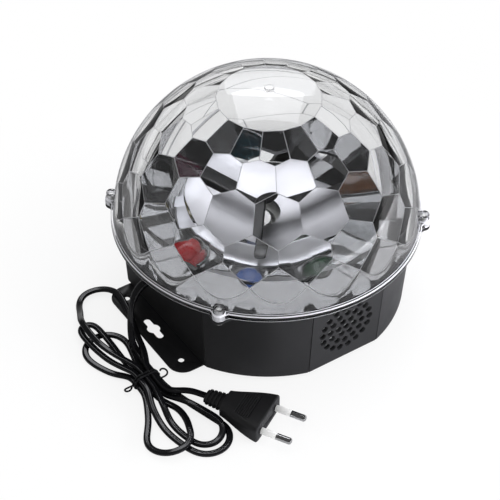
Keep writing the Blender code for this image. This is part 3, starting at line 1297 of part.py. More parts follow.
def relief_tip():
    forward, _ = plug_frame()
    centre = np.array((*PLUG_FACE_CENTRE, CORD_LIFT + PLUG_FACE_SIZE[1] / 2))
    return centre - forward * (PLUG_BODY_LENGTH + RELIEF_LENGTH)


def lead_routes():
    """Paths of the lead from its bush to the hank, and of the lead from the hank to the plug."""
    start = np.array((BUSH_X, bush_face() + BUSH_NOSE_LENGTH + GAP, BUSH_HEIGHT))
    hank_start = slot_point(LEAD_SLOT, 1) + np.array((CORD_END_LENGTH + GAP, 0, 0))
    forward, _ = plug_frame()
    tip = relief_tip() - forward * GAP
    hank_end = slot_point(PLUG_LEAD_SLOT, -1) - np.array((CORD_END_LENGTH + GAP, 0, 0))
    end = np.array((CORD_RADIUS, 0, 0)) * 2
    out = np.array((0, CORD_RADIUS, 0)) * 2
    mains = [start, start + out, *MAINS_WAY, hank_start + end, hank_start]
    plug = [hank_end, hank_end - end / 2, *PLUG_WAY, tip - forward * 2 * CORD_RADIUS, tip]
    return [straight_ends(points) for points in (mains, plug)]


def straight_ends(points):
    """A smooth path whose first and last spans stay straight, for one tube diameter each."""
    curve = smooth_curve(points, CURVE_STEPS)[CURVE_STEPS:-CURVE_STEPS]
    length = np.linalg.norm(np.diff(curve, axis=0), axis=1).sum()
    middle = spaced(curve, max(4, round(length / CORD_POINT_SPACING)))
    return np.vstack([points[0], middle, points[-1]])


def bush_face():
    """Where the bush's shoulder stands, just outside the drafted back wall."""
    return flat_distance(END_FLAT_DISTANCE, BUSH_HEIGHT + BUSH_FLANGE_RADIUS) + GAP


def tie_route():
    """The twist tie: twice round the waist, close to the cords, with a curl at each end."""
    centres = []
    for slot in WAIST_SLOTS:
        point = slot_point(slot, 0)
        centres.append((point[1], point[2]))
    centres = np.array(centres)
    reach = CORD_RADIUS + TIE_RADIUS + TIE_CLEARANCE
    count = TIE_TURNS * TIE_POINTS_PER_TURN
    points = []
    for step in range(count + 1):
        turn = -math.pi / 2 - 2 * math.pi * step / TIE_POINTS_PER_TURN
        out = np.array((math.cos(turn), math.sin(turn)))
        far = centres @ out
        if step % TIE_POINTS_PER_TURN == 0:
            place = np.array((HANK_CENTRE[1], centres[:, 1].min() - reach))
        else:
            place = centres[far.argmax()] + reach * out
        points.append((HANK_CENTRE[0] + TIE_START - TIE_PITCH * step / TIE_POINTS_PER_TURN, *place))
    low = points[0][2]
    first, last = [], []
    for step in range(TIE_CURL_POINTS):
        turn = math.radians(TIE_CURL_SWEEP_DEG) * step / (TIE_CURL_POINTS - 1)
        across, along = TIE_CURL_RADIUS * (1 - math.cos(turn)), TIE_CURL_RADIUS * math.sin(turn)
        climb = TIE_CURL_CLIMB * step / (TIE_CURL_POINTS - 1)
        start = HANK_CENTRE[1] + TIE_TAIL_REACH
        first.append((points[0][0] - across, start + along, low + climb))
        finish = HANK_CENTRE[1] - TIE_TAIL_REACH
        last.append((points[-1][0] + across, finish - along, low + climb))
    return np.array([*reversed(first), *points, *last])


def build_lead():
    """The bush in the back wall, the free lead, the tied hank, the lead to the plug, and the plug."""
    rubber = material("cord_rubber", (0.012, 0.012, 0.012), 0.30)
    wire = material("tie_plastic", (0.010, 0.010, 0.010), 0.25)
    moulding = material("plug_plastic", (0.015, 0.015, 0.015), 0.45)
    chrome = material("pin_chrome", (0.80, 0.80, 0.80), 0.12, 1.0)
    ivory = material("sleeve_plastic", (0.85, 0.85, 0.83), 0.35)
    shoulder = bush_face()
    inner = flat_distance(END_FLAT_DISTANCE - HOUSING_WALL, BUSH_HEIGHT - BUSH_FLANGE_RADIUS) - GAP
    profile = [
        (0, 0),
        (BUSH_FLANGE_RADIUS, 0),
        (BUSH_FLANGE_RADIUS, BUSH_FLANGE_THICKNESS),
        (BUSH_RADIUS, BUSH_FLANGE_THICKNESS),
        (BUSH_RADIUS, shoulder - inner + BUSH_FLANGE_THICKNESS),
        (BUSH_NOSE_RADIUS, shoulder - inner + BUSH_FLANGE_THICKNESS),
        (BUSH_NOSE_RADIUS * BUSH_TIP_SHARE, shoulder - inner + BUSH_FLANGE_THICKNESS + BUSH_NOSE_LENGTH),
        (0, shoulder - inner + BUSH_FLANGE_THICKNESS + BUSH_NOSE_LENGTH),
    ]
    place = placed((BUSH_X, inner - BUSH_FLANGE_THICKNESS, BUSH_HEIGHT), (0, 1, 0))
    turned_piece("cord_bush", profile, MEDIUM_SEGMENTS, rubber, place)

    mains, plug = lead_routes()
    hank = hank_route()
    print(f"hank: least gap to itself {least_gap(hank) * 1000:.2f} mm")
    print(f"hank: least gap to the leads {least_gap(hank[2:], mains[:-2]) * 1000:.2f} mm")
    print(f"hank: least gap to the plug lead {least_gap(hank[:-2], plug[2:]) * 1000:.2f} mm")
    tube("mains_lead", mains, CORD_RADIUS, 2, rubber)
    tube("cord_hank", hank, CORD_RADIUS, 1, rubber)
    tube("plug_lead", plug, CORD_RADIUS, 2, rubber)
    tube("twist_tie", tie_route(), TIE_RADIUS, 1, wire)

    place = plug_place()
    bm = bmesh.new()
    add_skin(bm, [[place @ point for point in ring] for ring in plug_rings()])
    body = make("plug_body", bm, moulding)
    bm = bmesh.new()
    for side in (-1, 1):
        at = place @ Matrix.Translation((side * PIN_SPACING / 2, 0, 0))
        add_rod(bm, PIN_CORE_RADIUS + GAP, -PIN_SUNK - GAP, CUT_OVERRUN, SMALL_SEGMENTS, at)
    combine(body, "DIFFERENCE", make("pin_holes", bm))
    for number, side in enumerate((-1, 1), 1):
        at = place @ Matrix.Translation((side * PIN_SPACING / 2, 0, 0))
        tip = PIN_RADIUS * (1 - HEAD_CHAMFER_SHARE)
        profile = [
            (0, -PIN_SUNK),
            (PIN_CORE_RADIUS, -PIN_SUNK),
            (PIN_CORE_RADIUS, PIN_SLEEVE_LENGTH),
            (PIN_RADIUS, PIN_SLEEVE_LENGTH),
            (PIN_RADIUS, PIN_LENGTH - tip),
            (PIN_RADIUS - tip, PIN_LENGTH),
            (0, PIN_LENGTH),
        ]
        turned_piece(f"plug_pin_{number}", profile, SMALL_SEGMENTS, chrome, at)
        profile = [
            (PIN_CORE_RADIUS + GAP, GAP),
            (PIN_RADIUS, GAP),
            (PIN_RADIUS, PIN_SLEEVE_LENGTH - GAP),
            (PIN_CORE_RADIUS + GAP, PIN_SLEEVE_LENGTH - GAP),
        ]
        turned_piece(f"pin_sleeve_{number}", profile, SMALL_SEGMENTS, ivory, at)


def plug_rings():
    """Sections of the plug from the tip of its ribbed strain relief to its face, round to nearly square."""
    rings = []

    def section(distance, width, height, squareness):
        ring = []
        for step in range(PLUG_SECTION_POINTS):
            turn = 2 * math.pi * (step + 0.5) / PLUG_SECTION_POINTS
            across, up = math.cos(turn), math.sin(turn)
            x = width / 2 * math.copysign(abs(across) ** (2 / squareness), across)
            y = height / 2 * math.copysign(abs(up) ** (2 / squareness), up)
            ring.append(Vector((x, y, distance)))
        rings.append(ring)

    rib = RELIEF_LENGTH / (2 * RELIEF_RIBS)
    back = -PLUG_BODY_LENGTH - RELIEF_LENGTH
    for number in range(2 * RELIEF_RIBS):
        share = number / (2 * RELIEF_RIBS)
        width = RELIEF_TIP_SIZE[0] + (RELIEF_ROOT_SIZE[0] - RELIEF_TIP_SIZE[0]) * share
        height = RELIEF_TIP_SIZE[1] + (RELIEF_ROOT_SIZE[1] - RELIEF_TIP_SIZE[1]) * share
        depth = 0 if number % 2 else 2 * RELIEF_GROOVE
        section(back + rib * number, width - depth, height - depth, 2)
    section(-PLUG_BODY_LENGTH, *PLUG_REAR_SIZE, PLUG_SQUARENESS)
    section(-PLUG_FACE_CHAMFER, *PLUG_FACE_SIZE, PLUG_SQUARENESS)
    inset = 2 * PLUG_FACE_CHAMFER
    section(0, PLUG_FACE_SIZE[0] - inset, PLUG_FACE_SIZE[1] - inset, PLUG_SQUARENESS)
    return rings


for item in list(bpy.data.objects):
    bpy.data.objects.remove(item)
build_base()
build_housing()
build_dome()
build_deck()
build_dish()
build_rotor()
build_speakers()
build_boards()
build_controls()
build_lead()
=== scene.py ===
"""Looks of a crystal dome party light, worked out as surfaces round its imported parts. Run as a script."""
import math

import bmesh
import bpy
import numpy as np
from bpy.props import FloatProperty, FloatVectorProperty, IntProperty, PointerProperty
from bpy.types import Operator, Panel, PropertyGroup
from mathutils import Matrix, Vector


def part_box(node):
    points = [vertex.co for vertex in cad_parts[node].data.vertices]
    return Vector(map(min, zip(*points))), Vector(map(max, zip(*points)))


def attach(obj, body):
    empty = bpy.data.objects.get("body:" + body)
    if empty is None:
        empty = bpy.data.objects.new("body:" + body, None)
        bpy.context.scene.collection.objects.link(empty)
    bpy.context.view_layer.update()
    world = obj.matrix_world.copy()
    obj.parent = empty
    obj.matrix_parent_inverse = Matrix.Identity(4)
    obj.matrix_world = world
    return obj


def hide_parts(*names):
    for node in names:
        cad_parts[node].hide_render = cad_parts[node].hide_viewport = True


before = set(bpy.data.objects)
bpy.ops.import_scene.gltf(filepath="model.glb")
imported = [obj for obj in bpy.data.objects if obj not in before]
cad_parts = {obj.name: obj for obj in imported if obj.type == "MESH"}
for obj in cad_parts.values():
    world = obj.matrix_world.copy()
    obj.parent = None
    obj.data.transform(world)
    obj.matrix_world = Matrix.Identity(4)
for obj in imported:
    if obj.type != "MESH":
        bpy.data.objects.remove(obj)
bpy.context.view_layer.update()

bl_info = {
    "name": "Crystal dome party light",
    "version": (1, 0, 0),
    "blender": (4, 5, 0),
    "location": "3D View > Sidebar > Party light",
    "description": "Builds the looks of a crystal dome party light round its packed parts",
    "category": "Object",
}

IMAGE_SIZE = 500
SENSOR_WIDTH = 36.0
MERGE_DISTANCE = 1e-6
CUT_OVERRUN = 0.001
GAP = 0.0003
QUARTER = math.pi / 2
TURN = 2 * math.pi
UP = np.array((0.0, 0.0, 1.0))
CREASE = math.radians(35)
SCREW_SEGMENTS, HOLE_SEGMENTS, BORE_SEGMENTS, BEAD_SEGMENTS, DISC_SEGMENTS = 20, 24, 32, 40, 48

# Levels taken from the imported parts
PLATE_BOTTOM, PLATE_TOP = (corner[2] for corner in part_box("base_plate"))
HOUSING_BOTTOM, HOUSING_TOP = (corner[2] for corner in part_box("base_housing"))
DOME_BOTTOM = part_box("dome_cover")[0][2]
DECK_BOTTOM = DOME_BOTTOM
DECK_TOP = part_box("deck_bezel")[1][2]
SHAFT_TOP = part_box("rotor_shaft")[1][2]
LENS_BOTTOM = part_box("red_lens")[0][2]
PRISM_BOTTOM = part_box("prism_ring")[0][2]
SPIDER_BOTTOM, SPIDER_TOP = (corner[2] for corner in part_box("rotor_spider"))
BUTTON_BACK, BUTTON_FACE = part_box("button_1")[1][1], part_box("button_1")[0][1]


def length(name, description, default):
    return FloatProperty(name=name, description=description, default=default, unit="LENGTH", precision=5)


def count(name, description, default):
    return IntProperty(name=name, description=description, default=default, min=3)


def share(name, description, default):
    return FloatProperty(name=name, description=description, default=default, min=0, max=1, subtype="FACTOR")


def watts(name, description, default):
    return FloatProperty(name=name, description=description, default=default, min=0, unit="POWER")


def tint(name, description, default):
    return FloatVectorProperty(
        name=name, description=description, default=default, subtype="COLOR", size=3, min=0, max=1
    )


class PARTYLIGHT_PG_dome(PropertyGroup):
    """The clear dome: its rim, ball, facets and screw lugs."""

    rim_radius: length("Rim radius", "Outer radius of the rim that lies on the base", 0.0925)
    rim_thickness: length("Rim thickness", "Height of the rim", 0.0040)
    ball_radius: length("Ball radius", "Radius of the smooth outside", 0.0909)
    cavity_radius: length("Cavity radius", "Radius of the hollow at the rim", 0.0875)
    facet_distance: length("Facet distance", "From the ball's centre to each inner facet", 0.08765)
    window_distance: length("Window distance", "From the ball's centre to the flat top window", 0.0832)
    # The chamfers, rim edges, lugs and wall below are made milky white: painted highlights and haze that
    # stand in for light in the clear plastic, not a frosted finish.
    facet_edge: length("Facet edge", "Setback of the narrow frosted chamfer between two facets", 0.00019)
    edge_highlight: share("Edge frost", "How white the chamfers between facets look", 0.80)
    rim_highlight: share("Rim frost", "How white the round edges of the rim and its lugs look", 1.0)
    lug_highlight: share("Lug frost", "How white the lugs look", 0.45)
    wall_haze: share("Wall frost", "How white the smooth wall below the facets looks", 0.05)
    columns: count("Facet columns", "Facets in each row", 17)
    smoothness: count("Segments", "Segments round the smooth outside", 160)
    lug_reach: length("Lug reach", "From the axis to the screw in each lug", 0.0929)
    lug_radius: length("Lug radius", "Roundness of a lug about its screw", 0.0040)
    post_radius: length("Post radius", "Radius of the clear post over each screw", 0.0032)
    post_height: length("Post height", "Height of the post over the rim's underside", 0.0085)
    colour: tint("Colour", "Tint of the clear acrylic", (0.985, 0.988, 0.992))
    painted_light: tint("Frost", "Colour of the frosted edges", (0.90, 0.90, 0.94))


class PARTYLIGHT_PG_base(PropertyGroup):
    """The black base: moulded housing, steel plate, feet and speakers."""

    radius: length("Housing radius", "Radius of the housing at its bottom", 0.0844)
    draft: length("Draft", "How much the housing widens to its top", 0.0029)
    wall: length("Wall", "Thickness of the moulded wall", 0.0022)
    side_flat: length("Speaker flats", "From the axis to each speaker flat at the bottom", 0.0808)
    end_flat: length("End flats", "From the axis to the front and back flats at the bottom", 0.0720)
    flange_radius: length("Flange radius", "Radius of the flange under the dome", 0.0908)
    flange_thickness: length("Flange thickness", "Height of that flange", 0.0018)
    groove: length("Groove", "Depth of the fine groove where a flat ends", 0.0005)
    grille_hole: length("Speaker hole", "Radius of each speaker hole", 0.0019)
    grille_pitch: length("Hole pitch", "Distance between the rings of speaker holes", 0.0055)
    speaker_height: length("Speaker height", "Height of the middle of each speaker", 0.0288)
    tab_reach: length("Tab reach", "From the axis to the end of the hanging tab", 0.0895)
    tab_half_width: length("Tab half width", "Half the width of the hanging tab", 0.0415)
    tab_corner: length("Tab corner", "Roundness of the tab's corners", 0.010)
    plastic: tint("Plastic", "Colour of the moulded base", (0.012, 0.012, 0.013))
    steel: tint("Steel", "Colour of the painted base plate", (0.010, 0.010, 0.011))
    rubber: tint("Rubber", "Colour of the feet", (0.018, 0.018, 0.018))


class PARTYLIGHT_PG_lights(PropertyGroup):
    """Deck, lenses, dish and rotor under the dome."""

    lens_circle: length("Lens circle", "Radius of the circle of lenses", 0.0590)
    lens_radius: length("Lens radius", "Radius of each lens", 0.0076)
    lens_height: length("Lens height", "Height of each lens over the deck", 0.0045)
    deck_bore: length("Deck bore", "Radius of the deck's hole round the dish", 0.048)
    dish_radius: length("Dish radius", "Radius of the silver dish", 0.0500)
    prism_inner: length("Prism inner radius", "Inner radius of the turning prism ring", 0.0470)
    prism_outer: length("Prism outer radius", "Outer radius of the turning prism ring", 0.0730)
    prism_ridges: count("Prism ridges", "Ridges round the prism ring", 18)
    red: tint("Red", "Red lens", (0.80, 0.004, 0.010))
    blue: tint("Blue", "Blue lens", (0.001, 0.12, 0.58))
    green: tint("Green", "Green lens", (0.003, 0.075, 0.018))
    white: tint("White", "White lens", (0.62, 0.64, 0.68))
    amber: tint("Amber", "Amber lens", (0.16, 0.05, 0.004))
    violet: tint("Violet", "Violet lens", (0.06, 0.010, 0.16))
    cyan: tint("Cyan", "Cyan lens", (0.002, 0.030, 0.045))
    pink: tint("Pink", "Pink lens", (0.075, 0.008, 0.028))
    yellow: tint("Yellow", "Yellow lens", (0.32, 0.24, 0.01))
    deck: tint("Deck", "Glossy deck round the lenses", (0.012, 0.012, 0.013))
    silver: tint("Silver", "Satin silver of the dish", (0.80, 0.80, 0.83))


class PARTYLIGHT_PG_lead(PropertyGroup):
    """The flat mains lead, its hank, tie and plug."""

    width: length("Cord width", "Width of the flat twin cord", 0.0039)
    thickness: length("Cord thickness", "Thickness of the flat twin cord", 0.0026)
    tie_radius: length("Tie radius", "Half thickness of the twist tie", 0.00055)
    cord: tint("Cord", "Colour of the cord", (0.005, 0.005, 0.006))
    plug: tint("Plug", "Colour of the plug's body", (0.014, 0.014, 0.015))
    sleeves: tint("Sleeves", "Insulated part of the pins", (0.86, 0.86, 0.85))


class PARTYLIGHT_PG_stage(PropertyGroup):
    """Floor, lamps and camera."""

    floor: tint("Floor", "Colour of the floor", (0.93, 0.93, 0.93))
    sky: share("Sky", "Strength of the even light from all round", 0.80)
    mirrored_sky: share("Mirrored sky", "How bright shiny surfaces show the sky", 0.07)
    lightness: share("Lightness", "How much of the shadow near the object is lifted", 0.80)
    key: watts("Key lamp", "Power of the lamp behind", 2.2)
    fill: watts("Side lamp", "Power of the lamp at the side", 14.0)
    focal_pixels: FloatProperty(name="Focal length", description="In pixels of the picture", default=1670.56)
    distance: length("Distance", "From the camera to the point it looks at", 1.0143)
    elevation: FloatProperty(
        name="Elevation", description="Camera height angle", default=math.radians(42.29), subtype="ANGLE"
    )
    roll: FloatProperty(name="Roll", description="Camera roll", default=math.radians(0.709), subtype="ANGLE")


class PARTYLIGHT_PG_all(PropertyGroup):
    """Every size and colour that a user may change."""

    dome: PointerProperty(type=PARTYLIGHT_PG_dome)
    base: PointerProperty(type=PARTYLIGHT_PG_base)
    lights: PointerProperty(type=PARTYLIGHT_PG_lights)
    lead: PointerProperty(type=PARTYLIGHT_PG_lead)
    stage: PointerProperty(type=PARTYLIGHT_PG_stage)


class Signal:
    """A value on a surface. Arithmetic on it adds the Math nodes that work it out."""

    def __init__(self, paint, socket):
        self.paint = paint
        self.socket = socket

    def math(self, operation, *values):
        return self.paint.node("ShaderNodeMath", {"operation": operation}, dict(enumerate(values)))

    def __add__(self, other):
        return self.math("ADD", self, other)

    def __rsub__(self, other):
        return self.math("SUBTRACT", other, self)

    def __mul__(self, other):
        return self.math("MULTIPLY", self, other)

    def sine(self):
        return self.math("SINE", self)

    def greatest(self, other):
        return self.math("MAXIMUM", self, other)

    def __gt__(self, other):
        return self.math("GREATER_THAN", self, other)

    def __lt__(self, other):
        return self.math("LESS_THAN", self, other)

    __radd__ = __add__
    __rmul__ = __mul__


class Nodes:
    """A tree of nodes, of a material or of the world."""

    def __init__(self, tree):
        self.tree = tree

    def node(self, kind, settings, inputs, output=0):
        made = self.tree.nodes.new(kind)
        for name, value in settings.items():
            setattr(made, name, value)
        for name, value in inputs.items():
            if isinstance(value, Signal):
                self.tree.links.new(value.socket, made.inputs[name])
            else:
                made.inputs[name].default_value = value
        return Signal(self, made.outputs[output])

    def ray(self, name):
        return self.node("ShaderNodeLightPath", {}, {}, name)

    def end(self, signal, node, socket):
        """Link a signal to a socket of a node that is already there."""
        self.tree.links.new(signal.socket, self.tree.nodes[node].inputs[socket])


class Paint(Nodes):
    """One finish: a Principled shader with constants on its sockets and patterns fed to a few of them."""

    def __init__(self, name, colour, roughness, metallic=0.0, **constants):
        self.material = bpy.data.materials.new(name)
        self.material.use_nodes = True
        self.material.diffuse_color = (*colour, 1.0)
        super().__init__(self.material.node_tree)
        self.shader = self.tree.nodes["Principled BSDF"]
        self.colour = (*colour, 1.0)
        self.roughness = roughness
        given = {"Base Color": self.colour, "Roughness": roughness, "Metallic": metallic}
        given.update({key.replace("_", " "): value for key, value in constants.items()})
        for socket, value in given.items():
            self.shader.inputs[socket].default_value = value

    def feed(self, socket, value):
        self.tree.links.new(value.socket, self.shader.inputs[socket])
        return self

    def place(self, scale=(1, 1, 1)):
        where = self.node("ShaderNodeTexCoord", {}, {}, "Object")
        return self.node("ShaderNodeMapping", {"vector_type": "TEXTURE"}, {"Vector": where, "Scale": scale})

    def noise(self, scale, detail=2.0, roughness=0.5, place=None):
        place = place or self.place()
        inputs = {"Vector": place, "Scale": scale, "Detail": detail, "Roughness": roughness}
        return self.node("ShaderNodeTexNoise", {}, inputs)

    def cells(self, scale, place=None):
        return self.node("ShaderNodeTexVoronoi", {}, {"Vector": place or self.place(), "Scale": scale})

    def axis(self, name, place):
        return self.node("ShaderNodeSeparateXYZ", {}, {0: place}, name)

    def blend(self, factor, first, second):
        """First colour where the factor is zero, second where it is one."""
        return self.node("ShaderNodeMix", {"data_type": "RGBA"}, {0: factor, 6: first, 7: second}, 2)

    def mottle(self, pattern, darker, lighter):
        """The base colour drawn between a darker and a lighter tone of itself."""
        tones = scaled(self.colour, darker), scaled(self.colour, lighter)
        self.feed("Base Color", self.blend(pattern, *tones))

    def bump(self, height, distance, strength=1.0):
        inputs = {"Height": height, "Distance": distance, "Strength": strength}
        return self.feed("Normal", self.node("ShaderNodeBump", {}, inputs))


def scaled(colour, factor):
    return (*(min(1.0, channel * factor) for channel in colour[:3]), 1.0)


# Depths of grain on mouldings and of marks on other finishes
GRAIN, COARSE_GRAIN, FINE_GRAIN, SILKY_GRAIN, POLISHED_GRAIN = 0.00004, 0.00008, 0.00002, 0.00001, 0.000004
MARK_DEPTH, CHROME_MARK_DEPTH, ORANGE_PEEL_DEPTH = 0.00001, 0.000003, 0.00003
LENS_WEB_DEPTH, TRACK_DEPTH, FIBRE_DEPTH = 0.0002, 0.00006, 0.00012
# Optical index of acrylic, and the ones that give the deck and the prism ring their look
ACRYLIC_INDEX, LENS_INDEX, DECK_INDEX, PRISM_INDEX = 1.49, 1.45, 2.3, 1.22
# Repeats of a pattern in a metre
CLOUD_SCALE, SHEEN_SCALE = 35.0, 90.0
GRAIN_SCALE, RUBBER_GRAIN_SCALE, PLUG_GRAIN_SCALE = 2600.0, 1500.0, 2200.0
METAL_MARK_SCALE, METAL_CLOUD_SCALE, SILVER_MARK_SCALE = 900.0, 60.0, 60.0
PAINT_CLOUD_SCALE, PAINT_SHEEN_SCALE, PAINT_PEEL_SCALE = 50.0, 140.0, 1500.0
ACRYLIC_CLOUD_SCALE, LENS_WEB_SCALE, FIBRE_SCALE = 18.0, 520.0, 1400.0
SOLDER_SCALE, BOARD_SHEEN_SCALE, TRACK_SCALE_X, TRACK_SCALE_Y = 260.0, 200.0, 900.0, 700.0
TRACK_LEVEL, SOLDER_LEVEL = 0.25, 0.16
SOLDER_COLOUR = (0.62, 0.60, 0.55, 1.0)


def moulded(name, colour, roughness, grain=GRAIN, grain_scale=GRAIN_SCALE, variation=0.25, **constants):
    """Moulded plastic or rubber: a fine even grain, and slow changes of its colour and sheen."""
    paint = Paint(name, colour, roughness, **constants)
    paint.mottle(paint.noise(CLOUD_SCALE, 3.0), 1 - variation, 1 + variation)
    paint.feed("Roughness", roughness * (0.85 + 0.3 * paint.noise(SHEEN_SCALE, 3.0)))
    if grain:
        paint.bump(paint.noise(grain_scale, 2.0, 0.6), grain, 0.6)
    return paint.material


def metal(name, colour, roughness, stretch=(1, 1, 1), scale=METAL_MARK_SCALE, depth=MARK_DEPTH):
    """Metal with fine marks, drawn out along the axes where the stretch is large."""
    paint = Paint(name, colour, roughness, 1.0)
    marks = paint.noise(scale, 3.0, 0.6, paint.place(scale=stretch))
    paint.mottle(paint.noise(METAL_CLOUD_SCALE, 2.0), 0.88, 1.06)
    paint.feed("Roughness", roughness * (0.6 + 0.8 * marks))
    paint.bump(marks, depth, 0.5)
    return paint.material


def painted(name, colour, roughness):
    """Baked paint on sheet steel: a soft orange peel and slow changes of sheen."""
    paint = Paint(name, colour, roughness, Coat_Weight=0.25, Coat_Roughness=0.25)
    paint.mottle(paint.noise(PAINT_CLOUD_SCALE, 3.0), 0.8, 1.25)
    paint.feed("Roughness", roughness * (0.8 + 0.4 * paint.noise(PAINT_SHEEN_SCALE, 4.0)))
    paint.bump(paint.noise(PAINT_PEEL_SCALE, 2.0), ORANGE_PEEL_DEPTH, 0.5)
    return paint.material


def clear_paint(name, colour, roughness, index):
    """Clear acrylic, a little less clear here and there."""
    paint = Paint(name, colour, roughness, Transmission_Weight=1.0, IOR=index)
    paint.mottle(paint.noise(ACRYLIC_CLOUD_SCALE, 1.0), 0.985, 1.0)
    return paint


def clear_with_painted_light(name, colour, painted_light, attribute):
    """Clear acrylic mixed with a milky white shader by the amount stored on each face, for painted highlights
    and haze.
    """
    paint = clear_paint(name, colour, 0.0, ACRYLIC_INDEX)
    painted_light_rgba = (*painted_light, 1.0)
    matte = paint.node("ShaderNodeBsdfDiffuse", {}, {"Color": painted_light_rgba})
    glow = paint.node("ShaderNodeBsdfTranslucent", {}, {"Color": painted_light_rgba})
    painted_light_shader = paint.node("ShaderNodeMixShader", {}, {0: 0.5, 1: matte, 2: glow})
    amount = paint.node("ShaderNodeAttribute", {"attribute_name": attribute}, {}, "Fac")
    clean = Signal(paint, paint.shader.outputs[0])
    mixed = paint.node("ShaderNodeMixShader", {}, {0: amount, 1: clean, 2: painted_light_shader})
    paint.end(mixed, "Material Output", "Surface")
    return paint.material


def coloured_lens(name, colour):
    """Tinted acrylic over a frosted back: part clear, part milky, with a fine web of moulded cells."""
    paint = Paint(name, colour, 0.12, Transmission_Weight=0.35, IOR=LENS_INDEX)
    web = paint.cells(LENS_WEB_SCALE)
    paint.mottle(web, 1.15, 0.75)
    paint.bump(web, LENS_WEB_DEPTH, 0.4)
    return paint.material


def circuit_board(name, colour):
    """Solder mask with darker and lighter tracks along the board's two directions and pale solder spots."""
    paint = Paint(name, colour, 0.35, Coat_Weight=0.4, Coat_Roughness=0.15)
    place = paint.place()
    cells = paint.cells(SOLDER_SCALE, place)
    across = (paint.axis("X", place) * TRACK_SCALE_X).sine()
    tracks = across * (paint.axis("Y", place) * TRACK_SCALE_Y).sine() > TRACK_LEVEL
    ground = paint.blend(tracks, scaled(paint.colour, 0.7), scaled(paint.colour, 1.7))
    paint.feed("Base Color", paint.blend(cells < SOLDER_LEVEL, ground, SOLDER_COLOUR))
    paint.feed("Roughness", 0.25 + 0.3 * paint.noise(BOARD_SHEEN_SCALE, 2.0))
    paint.bump(tracks, TRACK_DEPTH, 0.5)
    return paint.material


def paper_cone(name, colour):
    """Coated paper: matted fibres under a thin gloss."""
    paint = Paint(name, colour, 0.35, Coat_Weight=0.5, Coat_Roughness=0.2)
    fibres = paint.noise(FIBRE_SCALE, 5.0, 0.7)
    paint.mottle(fibres, 0.6, 1.9)
    paint.bump(fibres, FIBRE_DEPTH, 0.7)
    return paint.material


class Shape:
    """One piece's surface, gathered from grids of points whose rows are closed rings.

    Neighbouring rows are joined by quads. A looped grid joins its last row to its first; any other is closed
    by a face at each end, and a row that has shrunk to one point becomes a pole.
    """

    def __init__(self, *grids, looped=False):
        self.points, self.faces, self.total = [], [], 0
        for grid in grids:
            self.add(grid, looped)

    def add(self, grid, looped=False):
        rows, columns = grid.shape[:2]
        index = self.total + np.arange(rows * columns).reshape(rows, columns)
        lower, upper = (index, np.roll(index, -1, axis=0)) if looped else (index[:-1], index[1:])
        quads = np.stack([lower, np.roll(lower, -1, axis=1), np.roll(upper, -1, axis=1), upper], axis=-1)
        self.faces += quads.reshape(-1, 4).tolist()
        if not looped:
            open_ends = [row for row in (0, -1) if np.ptp(grid[row], axis=0).max() > MERGE_DISTANCE]
            self.faces += [index[row].tolist() for row in open_ends]
        self.points.append(grid.reshape(-1, 3))
        self.total += rows * columns
        return self

    def object(self, name, sharp=CREASE):
        mesh = bpy.data.meshes.new(name)
        mesh.from_pydata(np.vstack(self.points), [], self.faces)
        bm = bmesh.new()
        bm.from_mesh(mesh)
        bmesh.ops.remove_doubles(bm, verts=bm.verts[:], dist=MERGE_DISTANCE)
        bmesh.ops.recalc_face_normals(bm, faces=bm.faces[:])
        bm.to_mesh(mesh)
        bm.free()
        mesh.shade_smooth()
        mesh.set_sharp_from_angle(angle=sharp)
        made = bpy.data.objects.new(name, mesh)
        bpy.context.scene.collection.objects.link(made)
        return made


def combined(target, operation, tool):
    """The target with a Boolean of the tool worked into its mesh. The tool is removed."""
    step = target.modifiers.new(operation.title(), "BOOLEAN")
    step.operation = operation
    step.solver = "EXACT"
    step.object = tool
    graph = bpy.context.evaluated_depsgraph_get()
    made = bpy.data.meshes.new_from_object(target.evaluated_get(graph))
    target.modifiers.clear()
    before, target.data = target.data, made
    bpy.data.meshes.remove(before)
    bpy.data.objects.remove(tool)
    return target


def creased(made):
    """The piece with its edges marked sharp again, after Booleans."""
    made.data.set_sharp_from_angle(angle=CREASE)
    return made


def dress(made, material, slot, *nodes, body="case"):
    """A finished piece: its material, the body it rides on, and the nodes it stands for."""
    made.data.materials.clear()
    made.data.materials.append(material)
    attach(made, body)
    if nodes:
        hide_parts(*nodes)
    return made


def coat(material, *nodes):
    """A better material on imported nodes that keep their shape."""
    for name in nodes:
        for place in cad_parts[name].material_slots:
            place.material = material


LONGEST_EASE_SHARE = 0.45


def rounded(profile, radius, steps=3):
    """Each inner corner of an open profile eased by a parabola that leaves its sides at the given distance.

    A point of it is (1 - t) squared times its start, plus 2 t (1 - t) times the corner, plus t squared times
    its end, for t from nought to one.
    """
    points = np.asarray(profile, float)
    corner = points[1:-1]
    radius = np.broadcast_to(np.asarray(radius, float).reshape(-1, 1), (len(corner), 1))

    def toward(end):
        gap = end - corner
        far = np.linalg.norm(gap, axis=1, keepdims=True)
        return corner + gap / far * np.minimum(radius, LONGEST_EASE_SHARE * far)

    start, finish = toward(points[:-2])[:, None], toward(points[2:])[:, None]
    t = np.linspace(0, 1, steps + 1)[None, :, None]
    curve = (1 - t) ** 2 * start + 2 * t * (1 - t) * corner[:, None] + t**2 * finish
    return np.vstack([points[:1], curve.reshape(-1, points.shape[1]), points[-1:]])


def rounded_loop(corners, radius):
    """A closed profile with every corner eased."""
    corners = np.asarray(corners, float)
    middle = (corners[:1] + corners[-1:]) / 2
    return rounded(np.vstack([middle, corners, middle]), radius)[:-1]


def moved(grid, place):
    return grid if place is None else grid @ place[:3, :3].T + place[:3, 3]


def stood(location, out):
    """A place whose Z axis points along a direction."""
    turned_to = Vector(out).to_track_quat("Z", "Y").to_matrix().to_4x4()
    return np.array(Matrix.Translation(location) @ turned_to)


def shifted(x, y, z=0.0):
    return np.array(Matrix.Translation((x, y, z)))


